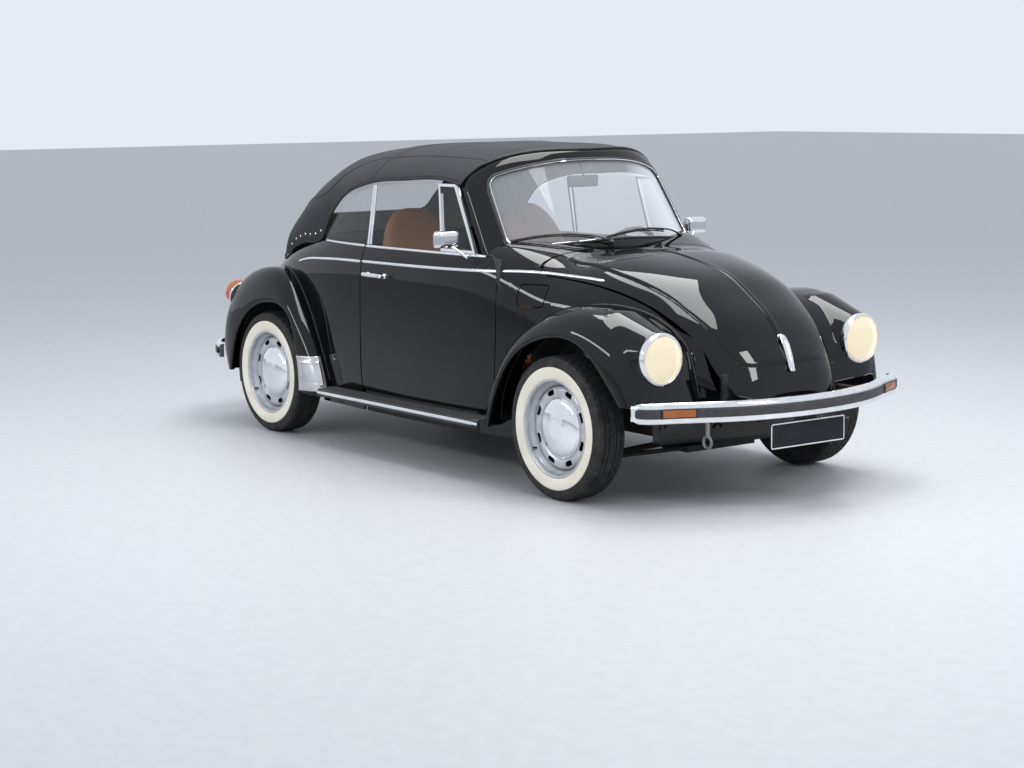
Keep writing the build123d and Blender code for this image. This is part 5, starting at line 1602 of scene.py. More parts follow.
BEZEL = [(1652, 105), (1668, 109), (1678, 111.4), (1686, 112), (1692, 111.4), (1697, 109.2), (1700.5, 105.8),
         (1702, 102), (1701.5, 99.4), (1699, 97.9), (1695, 97.4), (1686, 97.2)]
REFLECTOR = [(1694, 97), (1688, 95), (1670, 80), (1652, 66), (1637, 48), (1628, 30), (1624, 14), (1624, 0.01)]
BULB_SHAPE = [(1626, 0.01), (1626, 12), (1634, 12), (1636, 8), (1644, 10), (1654, 12), (1662, 9), (1666, 4),
              (1667, 0.01)]


def lamp_turned(profile, steps):
    """A new mesh with a shape turned about the left headlamp's middle line."""
    return turned(bmesh.new(), profile, steps, (0, LAMP_Y, LAMP_Z), (1, 0, 0), (0, 0, 1))


bm = lamp_turned(BEZEL, 96)
tidy(bm)
face_from(bm, (1600, LAMP_Y, LAMP_Z))
mirrored(bm)
piece("headlamp_bezels", bm, CHROME, "body", ["headlights"], "chrome", wall=1.2, crisp=60)
bm = lamp_turned(REFLECTOR, 64)
tidy(bm)
bmesh.ops.recalc_face_normals(bm, faces=bm.faces)
bm.normal_update()
if sum(f.normal.x * f.calc_area() for f in bm.faces) < 0:
    bmesh.ops.reverse_faces(bm, faces=bm.faces)
mirrored(bm)
piece("headlamp_reflectors", bm, REFLECT, "body", wall=-1.0)
bm = lamp_turned(BULB_SHAPE, 20)
close_up(bm)
mirrored(bm)
piece("headlamp_bulbs", bm, BULB, "body", crisp=55)

LENS_RADIUS = 97.2


def lens_place(u, v):
    """The headlamp lens: a shallow dome with upright flutes between level bands."""
    a, b = squircle(u, v, 2)
    y, z = a * LENS_RADIUS, b * LENS_RADIUS
    rho = np.hypot(y, z) / LENS_RADIUS
    x = 1699 + 20 * np.sqrt(np.clip(1 - rho**2 * 0.92, 0, 1)) - 20 * math.sqrt(0.08)
    flute = np.abs(np.sin(math.pi * y / 11)) * (np.abs(z) < 58) * np.clip((0.93 - rho) * 12, 0, 1)
    band = np.abs(np.sin(math.pi * z / 29)) ** 0.4
    return np.stack([x - 1.5 * (1 - flute * band) * np.clip((0.95 - rho) * 12, 0, 1), LAMP_Y + y, LAMP_Z + z],
                    1)


bm = bmesh.new()
patch(bm, 72, 32, lens_place)
tidy(bm)
face_from(bm, (1600, LAMP_Y, LAMP_Z))
mirrored(bm)
piece("headlamp_lenses", bm, LAMP_GLASS, "body", slot="glass", wall=2.5)
bm = bmesh.new()
turned(bm, [(0, 5), (2.6, 4.6), (3.4, 3), (3.4, 0.01)], 14, (1699, LAMP_Y, LAMP_Z - 105), (1, 0, 0),
       (0, 0, 1))
mirrored(bm)
close_up(bm)
piece("bezel_screws", bm, STEEL, "body")

TAIL_BASE = Vector((-1588, 648, 656))
TAIL_LEAN = math.radians(18)
TAIL_WAY = Vector((-math.cos(TAIL_LEAN), 0, math.sin(TAIL_LEAN)))
TAIL_UP = Vector((math.sin(TAIL_LEAN), 0, math.cos(TAIL_LEAN)))
HOUSING = [(-40, 70), (-4, 75.4), (12, 76), (34, 75.6), (46, 74.6), (50, 72), (50, 66)]
TRIM_RING = [(44, 75.2), (48, 76.2), (53, 76.2), (57, 75), (58, 72)]
LENS_SHAPE = [(50, 71), (60, 73.6), (72, 73.8), (90, 73), (104, 70.6), (114, 66), (121, 58), (125, 46),
              (127, 30), (128, 14), (128, 0.01)]
AMBER_FROM, FROST_BELOW = 20, -34  # heights on the lens where its colours change
for name, profile, finish_used, slot, replaces in (
        ("tail_lamp_housings", HOUSING, PAINT, "paint", ["tail_lights"]),
        ("tail_lamp_rings", TRIM_RING, CHROME, "chrome", ())):
    bm = bmesh.new()
    turned(bm, profile, 72, TAIL_BASE, TAIL_WAY, TAIL_UP)
    tidy(bm)
    face_from(bm, TAIL_BASE)
    mirrored(bm)
    piece(name, bm, finish_used, "body", replaces, slot, wall=1.2, crisp=60)
bm = bmesh.new()
turned(bm, LENS_SHAPE, 96, TAIL_BASE, TAIL_WAY, TAIL_UP)
tidy(bm)
for height in (AMBER_FROM, FROST_BELOW):
    geom = bm.verts[:] + bm.edges[:] + bm.faces[:]
    bmesh.ops.bisect_plane(bm, geom=geom, plane_co=TAIL_BASE + TAIL_UP * height, plane_no=TAIL_UP)
for f in bm.faces:
    height = (f.calc_center_median() - TAIL_BASE).dot(TAIL_UP)
    f.material_index = 1 if height > AMBER_FROM else 2 if height < FROST_BELOW else 0
face_from(bm, TAIL_BASE)
mirrored(bm)
piece("tail_lamp_lenses", bm, [RED, AMBER, FROST], "body", slot="lamp_red", wall=2, crisp=60)

# ---------------------------------------------------------------- mirrors, side glass, running boards

MIRROR_Y, MIRROR_Z = 751, 1073
ARM_LINE = [(452, 646, 968), (446, 668, 992), (436, 700, 1018), (424, 732, 1042), (416, 748, 1062)]


def mirror_place(u, v):
    """The mirror's glass in the back of its head, slightly domed."""
    a, b = squircle(u, v, 5)
    x = np.full_like(u, 386.6) - 0.8 * (1 - a**2) * (1 - b**2)
    return np.stack([x, MIRROR_Y + a * 56, MIRROR_Z + b * 34], 1)


for side_name, side in SIDES.items():
    body = f"door_{side_name}"
    bm = bmesh.new()
    box(bm, (388, 688, 1033), (434, 814, 1113), 15, 6)
    for v in bm.verts:
        forward = (v.co.x - 388) / 46
        v.co.y = MIRROR_Y + (v.co.y - MIRROR_Y) * (1 - 0.16 * forward**2)
        v.co.z = MIRROR_Z + (v.co.z - MIRROR_Z) * (1 - 0.14 * forward**2)
    sided(f"mirror_head_{side_name}", bm, side, CHROME, body, replaces=[f"mirror_{side_name}"], slot="chrome",
          rounds=1)
    bm = bmesh.new()
    patch(bm, 16, 10, mirror_place)
    face_from(bm, (500, MIRROR_Y, MIRROR_Z))
    if side < 0:
        flipped(bm)
    piece(f"mirror_glass_{side_name}", bm, MIRROR, body, wall=1.0)
    bm = bmesh.new()
    tube(bm, smooth(ARM_LINE)(np.linspace(0, 1, 24)), 7.5, 12)
    turned(bm, [(-4, 0.01), (-4, 19), (3, 18), (8, 13), (14, 9)], 24, (449, 648, 972), (0, 0.86, 0.5),
           (1, 0, 0))
    sided(f"mirror_arm_{side_name}", bm, side, CHROME, body, slot="chrome")

# side window channels: the plane of the door glass leans in towards the hood
GLASS_LEAN_Z = 1330 - BELT_Z


def on_glass(x, z):
    """The door glass's plane at x and z."""
    foot = np.interp(x, [-390, 520], [640, 632])
    return np.stack([x, foot - (632 - 590) / GLASS_LEAN_Z * (z - BELT_Z), z], 1)


def on_quarter(x, z):
    """The rear side glass's plane at x and z."""
    foot = np.interp(x, [-860, -397], [608, 640])
    return np.stack([x, foot - (640 - 590) / GLASS_LEAN_Z * (z - BELT_Z), z], 1)


def channel(name, lines, count, plane, section, side, body):
    """Makes bright bars along lines on a glass's plane, on one side."""
    bm = bmesh.new()
    for points in lines:
        x, z = smooth(points)(np.linspace(0, 1, count)).T
        ribbon(bm, plane(x, z), np.tile([0, 1.0, 0], (count, 1)), section)
    cap_ends(bm)
    sided(name, bm, side, CHROME, body, slot="chrome", crisp=50)


CHANNEL = [(-6, -4), (-6, 4), (-4.5, 5.5), (4.5, 5.5), (6, 4), (6, -4), (-6, -4)]
POST = [(-4, -4), (-4, 5), (4, 5), (4, -4), (-4, -4)]
WEATHERSTRIP = [(-12, -3), (-11, 3), (-7, 4.5), (7, 4.5), (11, 3), (12, -3)]
POST_LINES = [[(207, 1006), (175, 1160), (141, 1308)], [(470, 1006), (376, 1160), (282, 1308)]]
for side_name, side in SIDES.items():
    body = f"door_{side_name}"
    channel(f"door_glass_channel_{side_name}", [[(-381, 1006), (-377, 1292)]], 12, on_glass, CHANNEL, side,
            body)
    channel(f"vent_window_posts_{side_name}", POST_LINES, 14, on_glass, POST, side, body)
    bm = bmesh.new()
    spots, _ = side_path([(-384, 1004), (0, 1005), (300, 1005), (500, 1004)], 60, side, -9)
    ribbon(bm, spots, np.tile([0, 0, 1.0], (60, 1)), WEATHERSTRIP)
    bmesh.ops.recalc_face_normals(bm, faces=bm.faces)
    face_from(bm, (0, side * 620, 900))
    piece(f"door_weatherstrip_{side_name}", bm, RUBBER, body, slot="rubber")
    channel(f"quarter_glass_channel_{side_name}", [[(-404, 1006), (-404, 1292)]], 12, on_quarter, CHANNEL,
            side, "body")

# running boards: ribbed rubber over pressed steel, a bright strip along the edge
BOARD_X = (-672.0, 676.0)
BOARD = [(600, 268), (600, 284)]
for rib in range(12):
    y = 612 + rib * 12
    BOARD += [(y, 284), (y + 1.5, 287), (y + 7, 287), (y + 8.5, 284)]
BOARD += [(757, 284), (766, 285.5), (776, 284), (783, 278), (785, 268), (785, 252), (782, 246), (778, 246)]
board = np.array(BOARD, float)


def board_place(u, v):
    """The board's place: u along it and v across its section."""
    j = np.rint(v * (len(board) - 1)).astype(int)
    x = BOARD_X[0] + (BOARD_X[1] - BOARD_X[0]) * u
    return np.stack([x, board[j, 0], board[j, 1]], 1)


skin("running_board_tops", 12, len(board) - 1, board_place, (0, 700, 100), BOARD_RUBBER, "body", True,
     replaces=["running_boards"], slot="rubber", wall=3, crisp=35)
bm = bmesh.new()
spots = np.stack([np.linspace(*BOARD_X, 20), np.full(20, 784.5), np.full(20, 266.0)], 1)
ribbon(bm, spots, np.tile([0, 1.0, 0], (20, 1)), half_round(16, 4), tapered(20, 1))
face_from(bm, (0, 600, 266))
mirrored(bm)
piece("running_board_strips", bm, CHROME, "body", slot="bright_metal")
ARMS = [((-672, 585, 206), (676, 603, 284)), ((-500, 600, 236), (-470, 770, 262)),
        ((430, 600, 236), (460, 770, 262))]
boxes("running_board_brackets", [(*ends, 3, 2) for ends in ARMS], UNDER_AND_SHADE, both=True, slot="underbody",
      crisp=50)

# stone guards on the rear fenders
GUARD_Z = (258, 430)
PRESS_U, PRESS_V = 0.36, 0.32  # half the pressed field, as shares of the plate


def guard_place(u, v):
    """The guard's place: u from the fender's crown to its lip, v upwards, with a pressed field and rim."""
    t = 0.44 + 0.57 * u
    wanted = GUARD_Z[0] + (GUARD_Z[1] - GUARD_Z[0]) * v
    angle = np.full_like(u, -4.0)
    for _ in range(24):
        spot = rear_fender.spot(angle, t)
        away = np.clip(np.linalg.norm(spot[:, [0, 2]] - np.array(REAR_AXLE), axis=1), 1, None)
        angle = angle + np.degrees((wanted - spot[:, 2]) / away) * 0.9
    spot = rear_fender.spot(angle, t)
    ahead = rear_fender.spot(angle, t + 0.01) - rear_fender.spot(angle, t - 0.01)
    around = rear_fender.spot(angle + 0.5, t) - rear_fender.spot(angle - 0.5, t)
    normal = np.cross(ahead, around)
    normal = normal / np.linalg.norm(normal, axis=1)[:, None]
    normal = normal * np.sign((normal * [1, 0.6, 0]).sum(1))[:, None]
    edge = np.maximum(np.abs(u - 0.5) / PRESS_U, np.abs(v - 0.5) / PRESS_V)
    press = 2.0 * np.exp(-(((edge - 1) / 0.07) ** 2)) + 1.0 * (edge < 1)
    rim = 1.6 * np.exp(-(((v - 0.97) / 0.02) ** 2))
    return spot + normal * (2.2 + press + rim)[:, None]


skin("stone_guard_plates", 42, 36, guard_place, (-1210, 500, 370), STEEL, "body", True,
     replaces=["stone_guards"], slot="bright_metal", wall=1.2)

# ---------------------------------------------------------------- wheels and tyres

RIM_SECTION_OUT = [(69, 213), (70, 210.5), (70, 208), (68.5, 205), (64, 202.8), (56, 201.6), (50, 201),
                   (44, 198), (36, 192), (28, 186), (14, 183.5), (6, 183)]
RIM_DISC = [(10, 183.4), (17, 181.5), (27, 178.5), (34, 174.5), (38.5, 169), (40.5, 162), (40.8, 155),
            (39.4, 147), (36.5, 140), (34, 135.5), (33, 131), (33, 118)]
RIM_INNER = [(6, 183), (-10, 183.5), (-30, 186), (-46, 192), (-56, 201), (-66, 203), (-70, 208), (-69, 213)]
CAP_SECTION = [(31, 133.4), (34, 134), (37.5, 133.4), (40.5, 131), (42.5, 127.6), (44.5, 126.4), (48, 122),
               (53, 108), (57.5, 92), (61, 74), (63, 60), (63.8, 55), (64.6, 53), (65.2, 46), (65.6, 30),
               (65.8, 14), (65.8, 0.01)]
SLOT_COUNT, SLOT_RADIUS = 8, 157
VALVE_TURN, VALVE_RADIUS = 3.72, 192
# the profile of a dark plate just behind the disc: painted shade where the slots look through to the shaded
# inside of the wheel
SLOT_SHADE_PLATE = [(8, 182), (4, 150), (2, 120), (2, 60), (2, 0.01)]
TYRE_SIDE = [(56, 206.6), (62, 207.6), (68, 210), (71.2, 215), (73.6, 224), (75.8, 236), (77, 248),
             (77.2, 257), (76.8, 262), (75.4, 263.6), (75.2, 265), (76, 267), (75.6, 276), (73.6, 288),
             (70.2, 298), (65.5, 304.5)]
CREAM_ROWS = (2, 9)  # the side rows between which the whitewall lies
# tread rows: across, radius, depth of the round groove there, share of the cuts across
TREAD = [(62, 306.4, 0, 1), (57, 308, 0, 1), (50, 309, 0, 1), (44.5, 309.4, 0, 1), (43.6, 309.4, 7, 0),
         (40.4, 309.5, 7, 0), (39.5, 309.5, 0, 1), (30, 309.8, 0, 0.8), (21.5, 310, 0, 0.8), (20.6, 310, 7, 0),
         (17, 310, 7, 0), (16, 310, 0, 0.8), (8, 310, 0, 0.4), (0, 310, 0, 0)]
CUT_DEPTH = 5.0


def wheel_spin(profile, centre, side, steps):
    """A new mesh turned about a wheel's axle, its rows given outwards from the wheel's middle."""
    bm = turned(bmesh.new(), [(a * side, r) for a, r in profile], steps, centre, (0, 1, 0), (0, 0, 1))
    tidy(bm)
    return bm


def slot_outline(angle):
    """One cooling slot's outline on the wheel's face, as x and z from the hub."""
    flat = rounded((-23, -12.5), (23, 12.5), 11, 4)
    cos, sin = math.cos(angle), math.sin(angle)
    return [(p[0] * -sin + (p[1] + SLOT_RADIUS) * cos, p[0] * cos + (p[1] + SLOT_RADIUS) * sin) for p in flat]


def make_wheel(name, axle, wheel_y, side_name):
    """Makes one wheel: rim, slotted disc, cap, valve, a dark plate of painted shade behind the slots, and the
    tyre.
    """
    side = SIDES[side_name]
    body = f"{name}_wheel_{side_name}"
    centre = np.array([axle[0], side * wheel_y, axle[1]])
    bm = wheel_spin(RIM_SECTION_OUT + RIM_INNER, centre, side, 120)
    face_from(bm, centre)
    bmesh.ops.reverse_faces(bm, faces=bm.faces)
    piece(f"{name}_rim_{side_name}", bm, SILVER, body, [f"{name}_wheel_{side_name}"], "wheel_steel",
          wall=-2.2, crisp=50)
    bm = wheel_spin(RIM_DISC, centre, side, 84)
    hub = np.array([centre[0], centre[2]])
    for slot in range(SLOT_COUNT):
        angle = math.tau * (slot + 0.5) / SLOT_COUNT
        spot = hub + SLOT_RADIUS * np.array([math.cos(angle), math.sin(angle)])
        outline = [hub + np.array(p) for p in slot_outline(angle)]
        cut_outline(bm, outline, 0, 2, lambda c, s=spot: math.hypot(c.x - s[0], c.z - s[1]) < 38)
    tidy(bm)
    face_from(bm, centre)
    piece(f"{name}_wheel_disc_{side_name}", bm, SILVER, body, slot="wheel_steel", wall=3.2, edge=1.0,
          crisp=55)
    bm = wheel_spin(CAP_SECTION, centre, side, 96)
    face_from(bm, centre)
    piece(f"{name}_hub_cap_{side_name}", bm, CHROME, body, slot="chrome", wall=1.2, crisp=60)
    bm = bmesh.new()
    along, up = math.cos(VALVE_TURN), math.sin(VALVE_TURN)
    stem = centre + np.array([VALVE_RADIUS * along, side * 44, VALVE_RADIUS * up])
    way = (along * -0.35, side * 0.94, up * -0.35)
    turned(bm, [(-8, 4.5), (4, 4.2), (14, 3.4), (15, 4.2), (23, 4.2), (25, 3.4), (25, 0.01)], 12, stem, way,
           (1, 0, 0))
    close_up(bm)
    piece(f"{name}_valve_{side_name}", bm, RUBBER, body, slot="rubber")
    # painted shade: a dark plate behind the disc stands for the shade seen through the slots
    bm = wheel_spin(SLOT_SHADE_PLATE, centre, side, 64)
    face_from(bm, centre - np.array([0, side * 100, 0]))
    piece(f"{name}_slot_shade_plate_{side_name}", bm, UNDER_AND_SHADE, body, slot="underbody")
    make_tyre(name, centre, side, side_name, body)


def make_tyre(name, centre, side, side_name, body):
    """A whitewall tyre: moulded side rings, four grooves round the tread and cuts across its blocks."""
    half = [(a, r, 0, 0) for a, r in TYRE_SIDE] + TREAD
    full = half + [(-a, r, groove, cut) for a, r, groove, cut in reversed(half[:-1])]
    bead, bead_r = half[0][:2]
    inside = [(-bead + 6, bead_r + 8), (-62, 250), (-58, 292), (58, 292), (62, 250), (bead - 6, bead_r + 8),
              (bead, bead_r)]
    table = np.array(full + [(a, r, 0, 0) for a, r in inside], float)
    steps, count = 240, len(table) - 1

    def place(u, v):
        i = np.rint(u * steps).astype(int)
        j = np.rint(v * count).astype(int)
        a, r, groove, cut = table[j].T
        slant = np.rint(np.abs(a) / 14).astype(int)
        phase = (i + np.where(a > 0, slant, -slant + 2)) % 5
        r = r - groove - np.where((phase == 0) & (np.abs(a) < 66), CUT_DEPTH * cut, 0)
        angle = u * math.tau
        return centre + np.stack([r * np.cos(angle), side * a, r * np.sin(angle)], 1)

    bm = bmesh.new()
    patch(bm, steps, count, place)
    tidy(bm, 0.02)
    cream_low, cream_high = (TYRE_SIDE[row][1] for row in CREAM_ROWS)
    for f in bm.faces:
        c = f.calc_center_median()
        across = (c.y - centre[1]) * side
        r = math.hypot(c.x - centre[0], c.z - centre[2])
        f.material_index = 1 if across > 60 and cream_low < r < cream_high else 0
    bmesh.ops.recalc_face_normals(bm, faces=bm.faces)
    bm.normal_update()
    outward = sum((f.calc_center_median() - Vector(centre)).dot(f.normal) * f.calc_area() for f in bm.faces)
    if outward < 0:
        bmesh.ops.reverse_faces(bm, faces=bm.faces)
    piece(f"{name}_whitewall_tyre_{side_name}", bm, [TYRE, CREAM], body, [f"{name}_tyre_{side_name}"], "tyre",
          crisp=38)


for side_name in SIDES:
    make_wheel("front", FRONT_AXLE, FRONT_WHEEL_Y, side_name)
    make_wheel("rear", REAR_AXLE, REAR_WHEEL_Y, side_name)

# ---------------------------------------------------------------- bonnet handle, wipers, interior

GRIP = [(1772, 0, 706), (1790, 0, 700), (1808, 0, 680), (1824, 0, 650), (1838, 0, 616), (1850, 0, 580),
        (1858, 0, 552)]
FORWARDS = np.array([1.0, 0, 0])
bm = bmesh.new()
grip_line = smooth(GRIP)(np.linspace(0, 1, 40))
widths = np.interp(np.linspace(0, 1, 40), [0, 0.08, 0.3, 0.6, 0.92, 1], [0.35, 0.75, 1.0, 1.0, 0.85, 0.3])
HANDLE = [(-18, -10), (-19, -3), (-17, 4), (-11, 9), (-4, 11), (0, 11.6), (4, 11), (11, 9), (17, 4), (19, -3),
          (18, -10)]
start = np.stack([np.full(40, 1500.0), grip_line[:, 1], grip_line[:, 2] * 0.6 + 180], 1)
normals = body_form.outward(body_form.reach(start, FORWARDS))
ribbon(bm, grip_line, normals, HANDLE, widths)
cap_ends(bm)
close_up(bm)
piece("bonnet_handle", bm, CHROME, "bonnet", slot="chrome", rounds=1)
bm = bmesh.new()
for z in (690, 560):
    spots = body_form.reach(np.stack([np.full(9, 1500.0), np.linspace(-15, 15, 9), np.full(9, float(z))], 1),
                            FORWARDS)
    normals = body_form.outward(spots)
    ribbon(bm, spots + normals * 8, normals, [(-9, -4), (-8, 4), (0, 7), (8, 4), (9, -4)], tapered(9, 2))
face_from(bm, (1500, 0, 500))
piece("bonnet_handle_feet", bm, CHROME, "bonnet", slot="chrome")

WIPERS = (
    [(-95, 1046), (-150, 1072), (-225, 1086), (-300, 1094)],
    [(-170, 1078), (-290, 1090), (-400, 1088), (-525, 1066)],
), (
    [(410, 1052), (330, 1080), (235, 1094), (150, 1100)],
    [(270, 1086), (150, 1098), (20, 1094), (-115, 1074)],
)
bm = bmesh.new()
share = np.linspace(0, 1, 40)
for arm_line, blade_line in WIPERS:
    arm = smooth(arm_line)(share)
    tube(bm, screen_spot(arm[:, 0], arm[:, 1], 14 + 8 * np.sin(share * math.pi)), 5.5, 8, flat=0.7)
    blade = smooth(blade_line)(share)
    bow = screen_spot(blade[:, 0], blade[:, 1], 11 + 4 * np.sin(share * math.pi))
    edge = screen_spot(blade[:, 0], blade[:, 1] - 8, 3.5)
    tube(bm, bow, 4.2, 6)
    tube(bm, edge, 3.2, 6)
    for at in (5, 15, 24, 34):
        tube(bm, np.array([bow[at], edge[at]]), 4.2, 6, up=(1, 0, 0))
    foot = screen_spot(np.array([arm_line[0][0]]), np.array([arm_line[0][1]]), 4)[0]
    turned(bm, [(-30, 13), (4, 13), (10, 12), (14, 8), (16, 0.01)], 20, foot, (0.55, 0, 0.83), (0, 1, 0))
close_up(bm)
piece("wiper_arms", bm, PLASTIC, "body", ["wipers"], "black_plastic")


def pad(name, spot, half_u, half_v, thick, power, crown, steps, finish, slot, replaces=()):
    """Makes a crowned pad that thins to a soft edge: spot(a, b, h) places its width, length and height."""
    def place(u, v):
        angle = u * math.tau
        lift = (v * 2 - 1) * math.pi / 2
        rim = (np.abs(np.cos(angle)) ** power + np.abs(np.sin(angle)) ** power) ** (-1 / power)
        run = np.cos(lift) ** crown
        a, b = np.cos(angle) * rim * run, np.sin(angle) * rim * run
        height = np.sin(lift) * (1 - 0.16 * (a**2 + b**2) / 2)
        return spot(a * half_u, b * half_v, height * thick)

    bm = bmesh.new()
    patch(bm, *steps, place)
    tidy(bm, 0.3)
    bmesh.ops.recalc_face_normals(bm, faces=bm.faces)
    made = piece(name, bm, finish, "body", replaces, slot)


def channels(along, pitch, wide, depth):
    """How deep the sewn channels are along a pad, one in the middle of each pitch."""
    return depth * np.exp(-(((along % pitch) - pitch / 2) / wide) ** 2)


SEAT_Y = 345.0
BACK_LEAN = math.radians(20)


def front_seat(side_name, side):
    """Makes one front seat: cushion, back and base, with sewn channels and side rolls."""
    middle = SEAT_Y * side
    back_up = np.array([-math.sin(BACK_LEAN), 0, math.cos(BACK_LEAN)])
    back_out = np.array([math.cos(BACK_LEAN), 0, math.sin(BACK_LEAN)])

    def base_spot(a, b, h):
        sewn = channels(b, 74, 7, 3.4) * (h > 20) * (np.abs(a) < 165) * (np.abs(b) < 190)
        well = 7 * np.exp(-((np.abs(a) - 172) / 14) ** 2) * (h > 20)
        z = 448 + h + 10 * (b / 260) - sewn - well + 10 * (np.abs(a) > 180) * (h > 0)
        return np.stack([20 + b, middle + a, z], 1)

    def back_spot(a, b, h):
        up = b + 348
        narrow = 1 - 0.16 * np.clip((up - 330) / 400, 0, 1) ** 2
        sewn = channels(up, 70, 7, 3.4) * (h > 8) * (np.abs(a) < 150) * (up > 60) * (up < 500)
        well = 5 * np.exp(-((np.abs(a) - 158) / 13) ** 2) * (h > 8) * (up < 520)
        out = h * (1 + 0.1 * np.cos(up / 330 * math.pi)) - sewn - well + 14 * (np.abs(a) / 215) ** 2 * (h > 0)
        foot = np.array([-215.0, middle, 440.0])
        across = np.array([0, 1.0, 0]) * (a * narrow)[:, None]
        return foot + across + back_up * up[:, None] + back_out * out[:, None]

    stood_for = ["front_seats"] if side > 0 else ()
    pad(f"front_seat_cushion_{side_name}", base_spot, 236, 252, 58, 6, 0.3, (120, 60), TAN, "seat_leather",
        stood_for)
    pad(f"front_seat_back_{side_name}", back_spot, 228, 424, 46, 3.0, 0.28, (120, 70), TAN, "seat_leather")
    base = [((-180, middle - 190, 217), (200, middle + 190, 392), 24, 4)]
    boxes(f"front_seat_base_{side_name}", base, PLASTIC, slot="black_plastic", crisp=60)


for side_name, side in SIDES.items():
    front_seat(side_name, side)

BENCH_LEAN = math.radians(14)


def bench_spot(a, b, h):
    """The rear cushion's places."""
    sewn = channels(a, 90, 8, 3) * (h > 18) * (np.abs(a) < 420)
    return np.stack([-775 + b, a, 425 + h - sewn + 14 * (b / 150)], 1)


def bench_back_spot(a, b, h):
    """The rear back's places."""
    up, out = b + 180, h - channels(a, 90, 8, 3) * (h > 8) * (np.abs(a) < 420)
    x = -925 - math.sin(BENCH_LEAN) * up + math.cos(BENCH_LEAN) * out
    return np.stack([x, a, 480 + math.cos(BENCH_LEAN) * up + math.sin(BENCH_LEAN) * out], 1)


pad("rear_seat_cushion", bench_spot, 490, 145, 62, 7, 0.3, (160, 50), SAND, "rear_trim", ["rear_seat"])
pad("rear_seat_back", bench_back_spot, 480, 190, 48, 7, 0.3, (160, 50), SAND, "rear_trim")
boxes("rear_seat_base", [((-1040, -480, 322), (-680, 480, 372), 12, 3)], CARPET, crisp=50)

# dashboard: padded top, one round instrument and two bright strips
DASH_HALF = 545
bm = bmesh.new()
box(bm, (662, -DASH_HALF, 800), (760, DASH_HALF, 900), 22, 6)
for v in bm.verts:
    v.co.x += 30 * (1 - (v.co.y / DASH_HALF) ** 2) - 20
    v.co.z += 12 * (1 - (v.co.y / DASH_HALF) ** 2)
box(bm, (650, 262, 896), (740, 428, 932), 16, 5)
close_up(bm)
piece("dashboard_pad", bm, PLASTIC, "body", ["dashboard"], "black_plastic", crisp=60)
bm = bmesh.new()
turned(bm, [(-2, 60), (4, 60), (6, 57), (6, 54), (2, 52), (2, 0.01)], 48, (668, 345, 850), (-1, 0, 0),
       (0, 0, 1))
for y in (-300, 120):
    box(bm, (666, y - 60, 866), (672, y + 60, 872), 1.5, 2)
close_up(bm)
piece("dashboard_trim", bm, STEEL, "body", crisp=40)

WHEEL_MIDDLE = Vector((350, 345, 900))
COLUMN_LEAN = math.radians(25)
COLUMN_WAY = Vector((-math.cos(COLUMN_LEAN), 0, math.sin(COLUMN_LEAN)))
WHEEL_UP = Vector((math.sin(COLUMN_LEAN), 0, math.cos(COLUMN_LEAN)))
WHEEL_SIDE = Vector((0, 1, 0))


def round_wheel(angle):
    """The direction at an angle round the steering wheel."""
    return WHEEL_SIDE * math.cos(angle) + WHEEL_UP * math.sin(angle)


bm = bmesh.new()
ring = [WHEEL_MIDDLE + round_wheel(a) * 190 for a in np.linspace(0, math.tau, 97)[:-1]]
tube(bm, ring, 13, 16, closed=True, up=COLUMN_WAY)
turned(bm, [(-12, 36), (-2, 40), (6, 38), (12, 30), (14, 16), (14, 0.01)], 40, WHEEL_MIDDLE, COLUMN_WAY,
       WHEEL_UP)
for turn in (20, 110, 200, 290):
    way, run = round_wheel(math.radians(turn)), np.linspace(30, 186, 12)
    spoke = [WHEEL_MIDDLE + way * r + COLUMN_WAY * (3 - 5 * math.sin(math.pi * (r - 30) / 155)) for r in run]
    tube(bm, spoke, 11, 10, flat=0.45, up=COLUMN_WAY)
close_up(bm)
piece("steering_wheel_rim", bm, PLASTIC, "steering_wheel", ["steering_wheel"], "black_plastic")

boxes("interior_mirror", [((548, -164, 1292), (562, 10, 1346), 6.5, 4)], PLASTIC, slot="black_plastic",
      crisp=60)
bm = bmesh.new()
tube(bm, smooth([(560, -77, 1340), (548, -77, 1372), (530, -77, 1404)])(np.linspace(0, 1, 12)), 5, 10)
close_up(bm)
piece("interior_mirror_stem", bm, PLASTIC, "body", slot="black_plastic")
bm = bmesh.new()
for y in (190, -190):
    turned(bm, [(0, 15), (110, 17), (122, 17), (122, 14), (20, 13)], 32, (-1960, y, 266), (-1, 0, -0.03),
           (0, 1, 0))
close_up(bm)
piece("tailpipe_tips", bm, CHROME, "body", slot="chrome", crisp=50)

# ---------------------------------------------------------------- finishes of the carried-over nodes

CAD_FINISHES = {
    "door_window_left": GLASS, "door_window_right": GLASS, "rear_windows": GLASS,
    "vent_window_frame_left": CHROME, "vent_window_frame_right": CHROME,
    "engine": CAST, "rear_axle": CAST, "exhaust": CAST, "knuckle_left": CAST, "knuckle_right": CAST,
    "front_suspension": UNDER_AND_SHADE, "steering_column": PLASTIC, "floor_pan": UNDER_AND_SHADE,
}
for node, used in CAD_FINISHES.items():
    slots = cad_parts[node].data.materials
    slots.clear()
    slots.append(used)

# ---------------------------------------------------------------- floor, light and camera


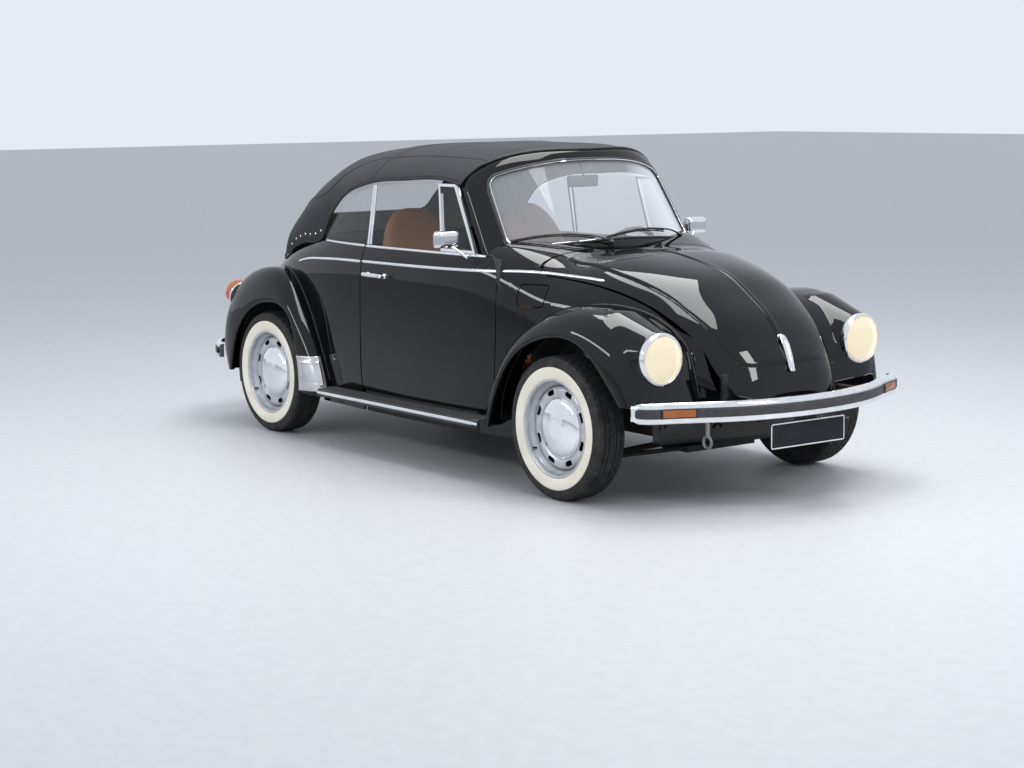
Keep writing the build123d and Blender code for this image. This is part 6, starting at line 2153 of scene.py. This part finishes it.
def stage_and_camera():
    """A pale floor and sky, three soft lights and the camera."""
    bm = bmesh.new()
    bmesh.ops.create_grid(bm, x_segments=1, y_segments=1, size=60)
    mesh = bpy.data.meshes.new("floor")
    bm.to_mesh(mesh)
    bm.free()
    floor = bpy.data.objects.new("floor", mesh)
    bpy.context.scene.collection.objects.link(floor)
    mesh.materials.append(worked("pale_floor", (0.44, 0.45, 0.465), (0.47, 0.48, 0.495), 0.5))
    world = bpy.data.worlds.new("studio")
    bpy.context.scene.world = world
    world.use_nodes = True
    sky = world.node_tree.nodes["Background"]
    sky.inputs["Color"].default_value = (0.88, 0.92, 1.0, 1)
    sky.inputs["Strength"].default_value = 0.9

    def softbox(name, place, aim, size, power):
        light = bpy.data.lights.new(name, "AREA")
        light.shape = "RECTANGLE"
        light.size, light.size_y = size
        light.energy = power
        lamp = bpy.data.objects.new(name, light)
        lamp.location = place
        lamp.rotation_mode = "QUATERNION"
        lamp.rotation_quaternion = (Vector(aim) - Vector(place)).to_track_quat("-Z", "Y")
        bpy.context.scene.collection.objects.link(lamp)

    softbox("overhead", (0.6, 0.4, 5.5), (0.3, 0, 0), (5, 2.6), 330)
    softbox("front_left", (6.5, 1.5, 4.2), (1.0, 0, 0.6), (1.2, 3.2), 160)
    softbox("side_strip", (-1.0, -6.5, 3.6), (0, 0, 0.7), (6, 0.5), 110)
    camera = bpy.data.cameras.new("camera")
    camera.sensor_width = 36
    camera.lens = 73.57
    camera.clip_end = 100
    view = bpy.data.objects.new("camera", camera)
    bpy.context.scene.collection.objects.link(view)
    yaw, pitch, roll = math.radians(143.104), math.radians(-7.865), math.radians(-0.524)
    ahead = Vector((math.cos(pitch) * math.cos(yaw), math.cos(pitch) * math.sin(yaw), math.sin(pitch)))
    level = ahead.to_track_quat("-Z", "Y").to_matrix()
    view.rotation_mode = "QUATERNION"
    view.rotation_quaternion = (level @ Matrix.Rotation(roll, 3, "Z")).to_quaternion()
    view.location = (8.1741, -6.1802, 1.7163)
    bpy.context.scene.camera = view


stage_and_camera()
bpy.context.scene.view_settings.view_transform = "Standard"
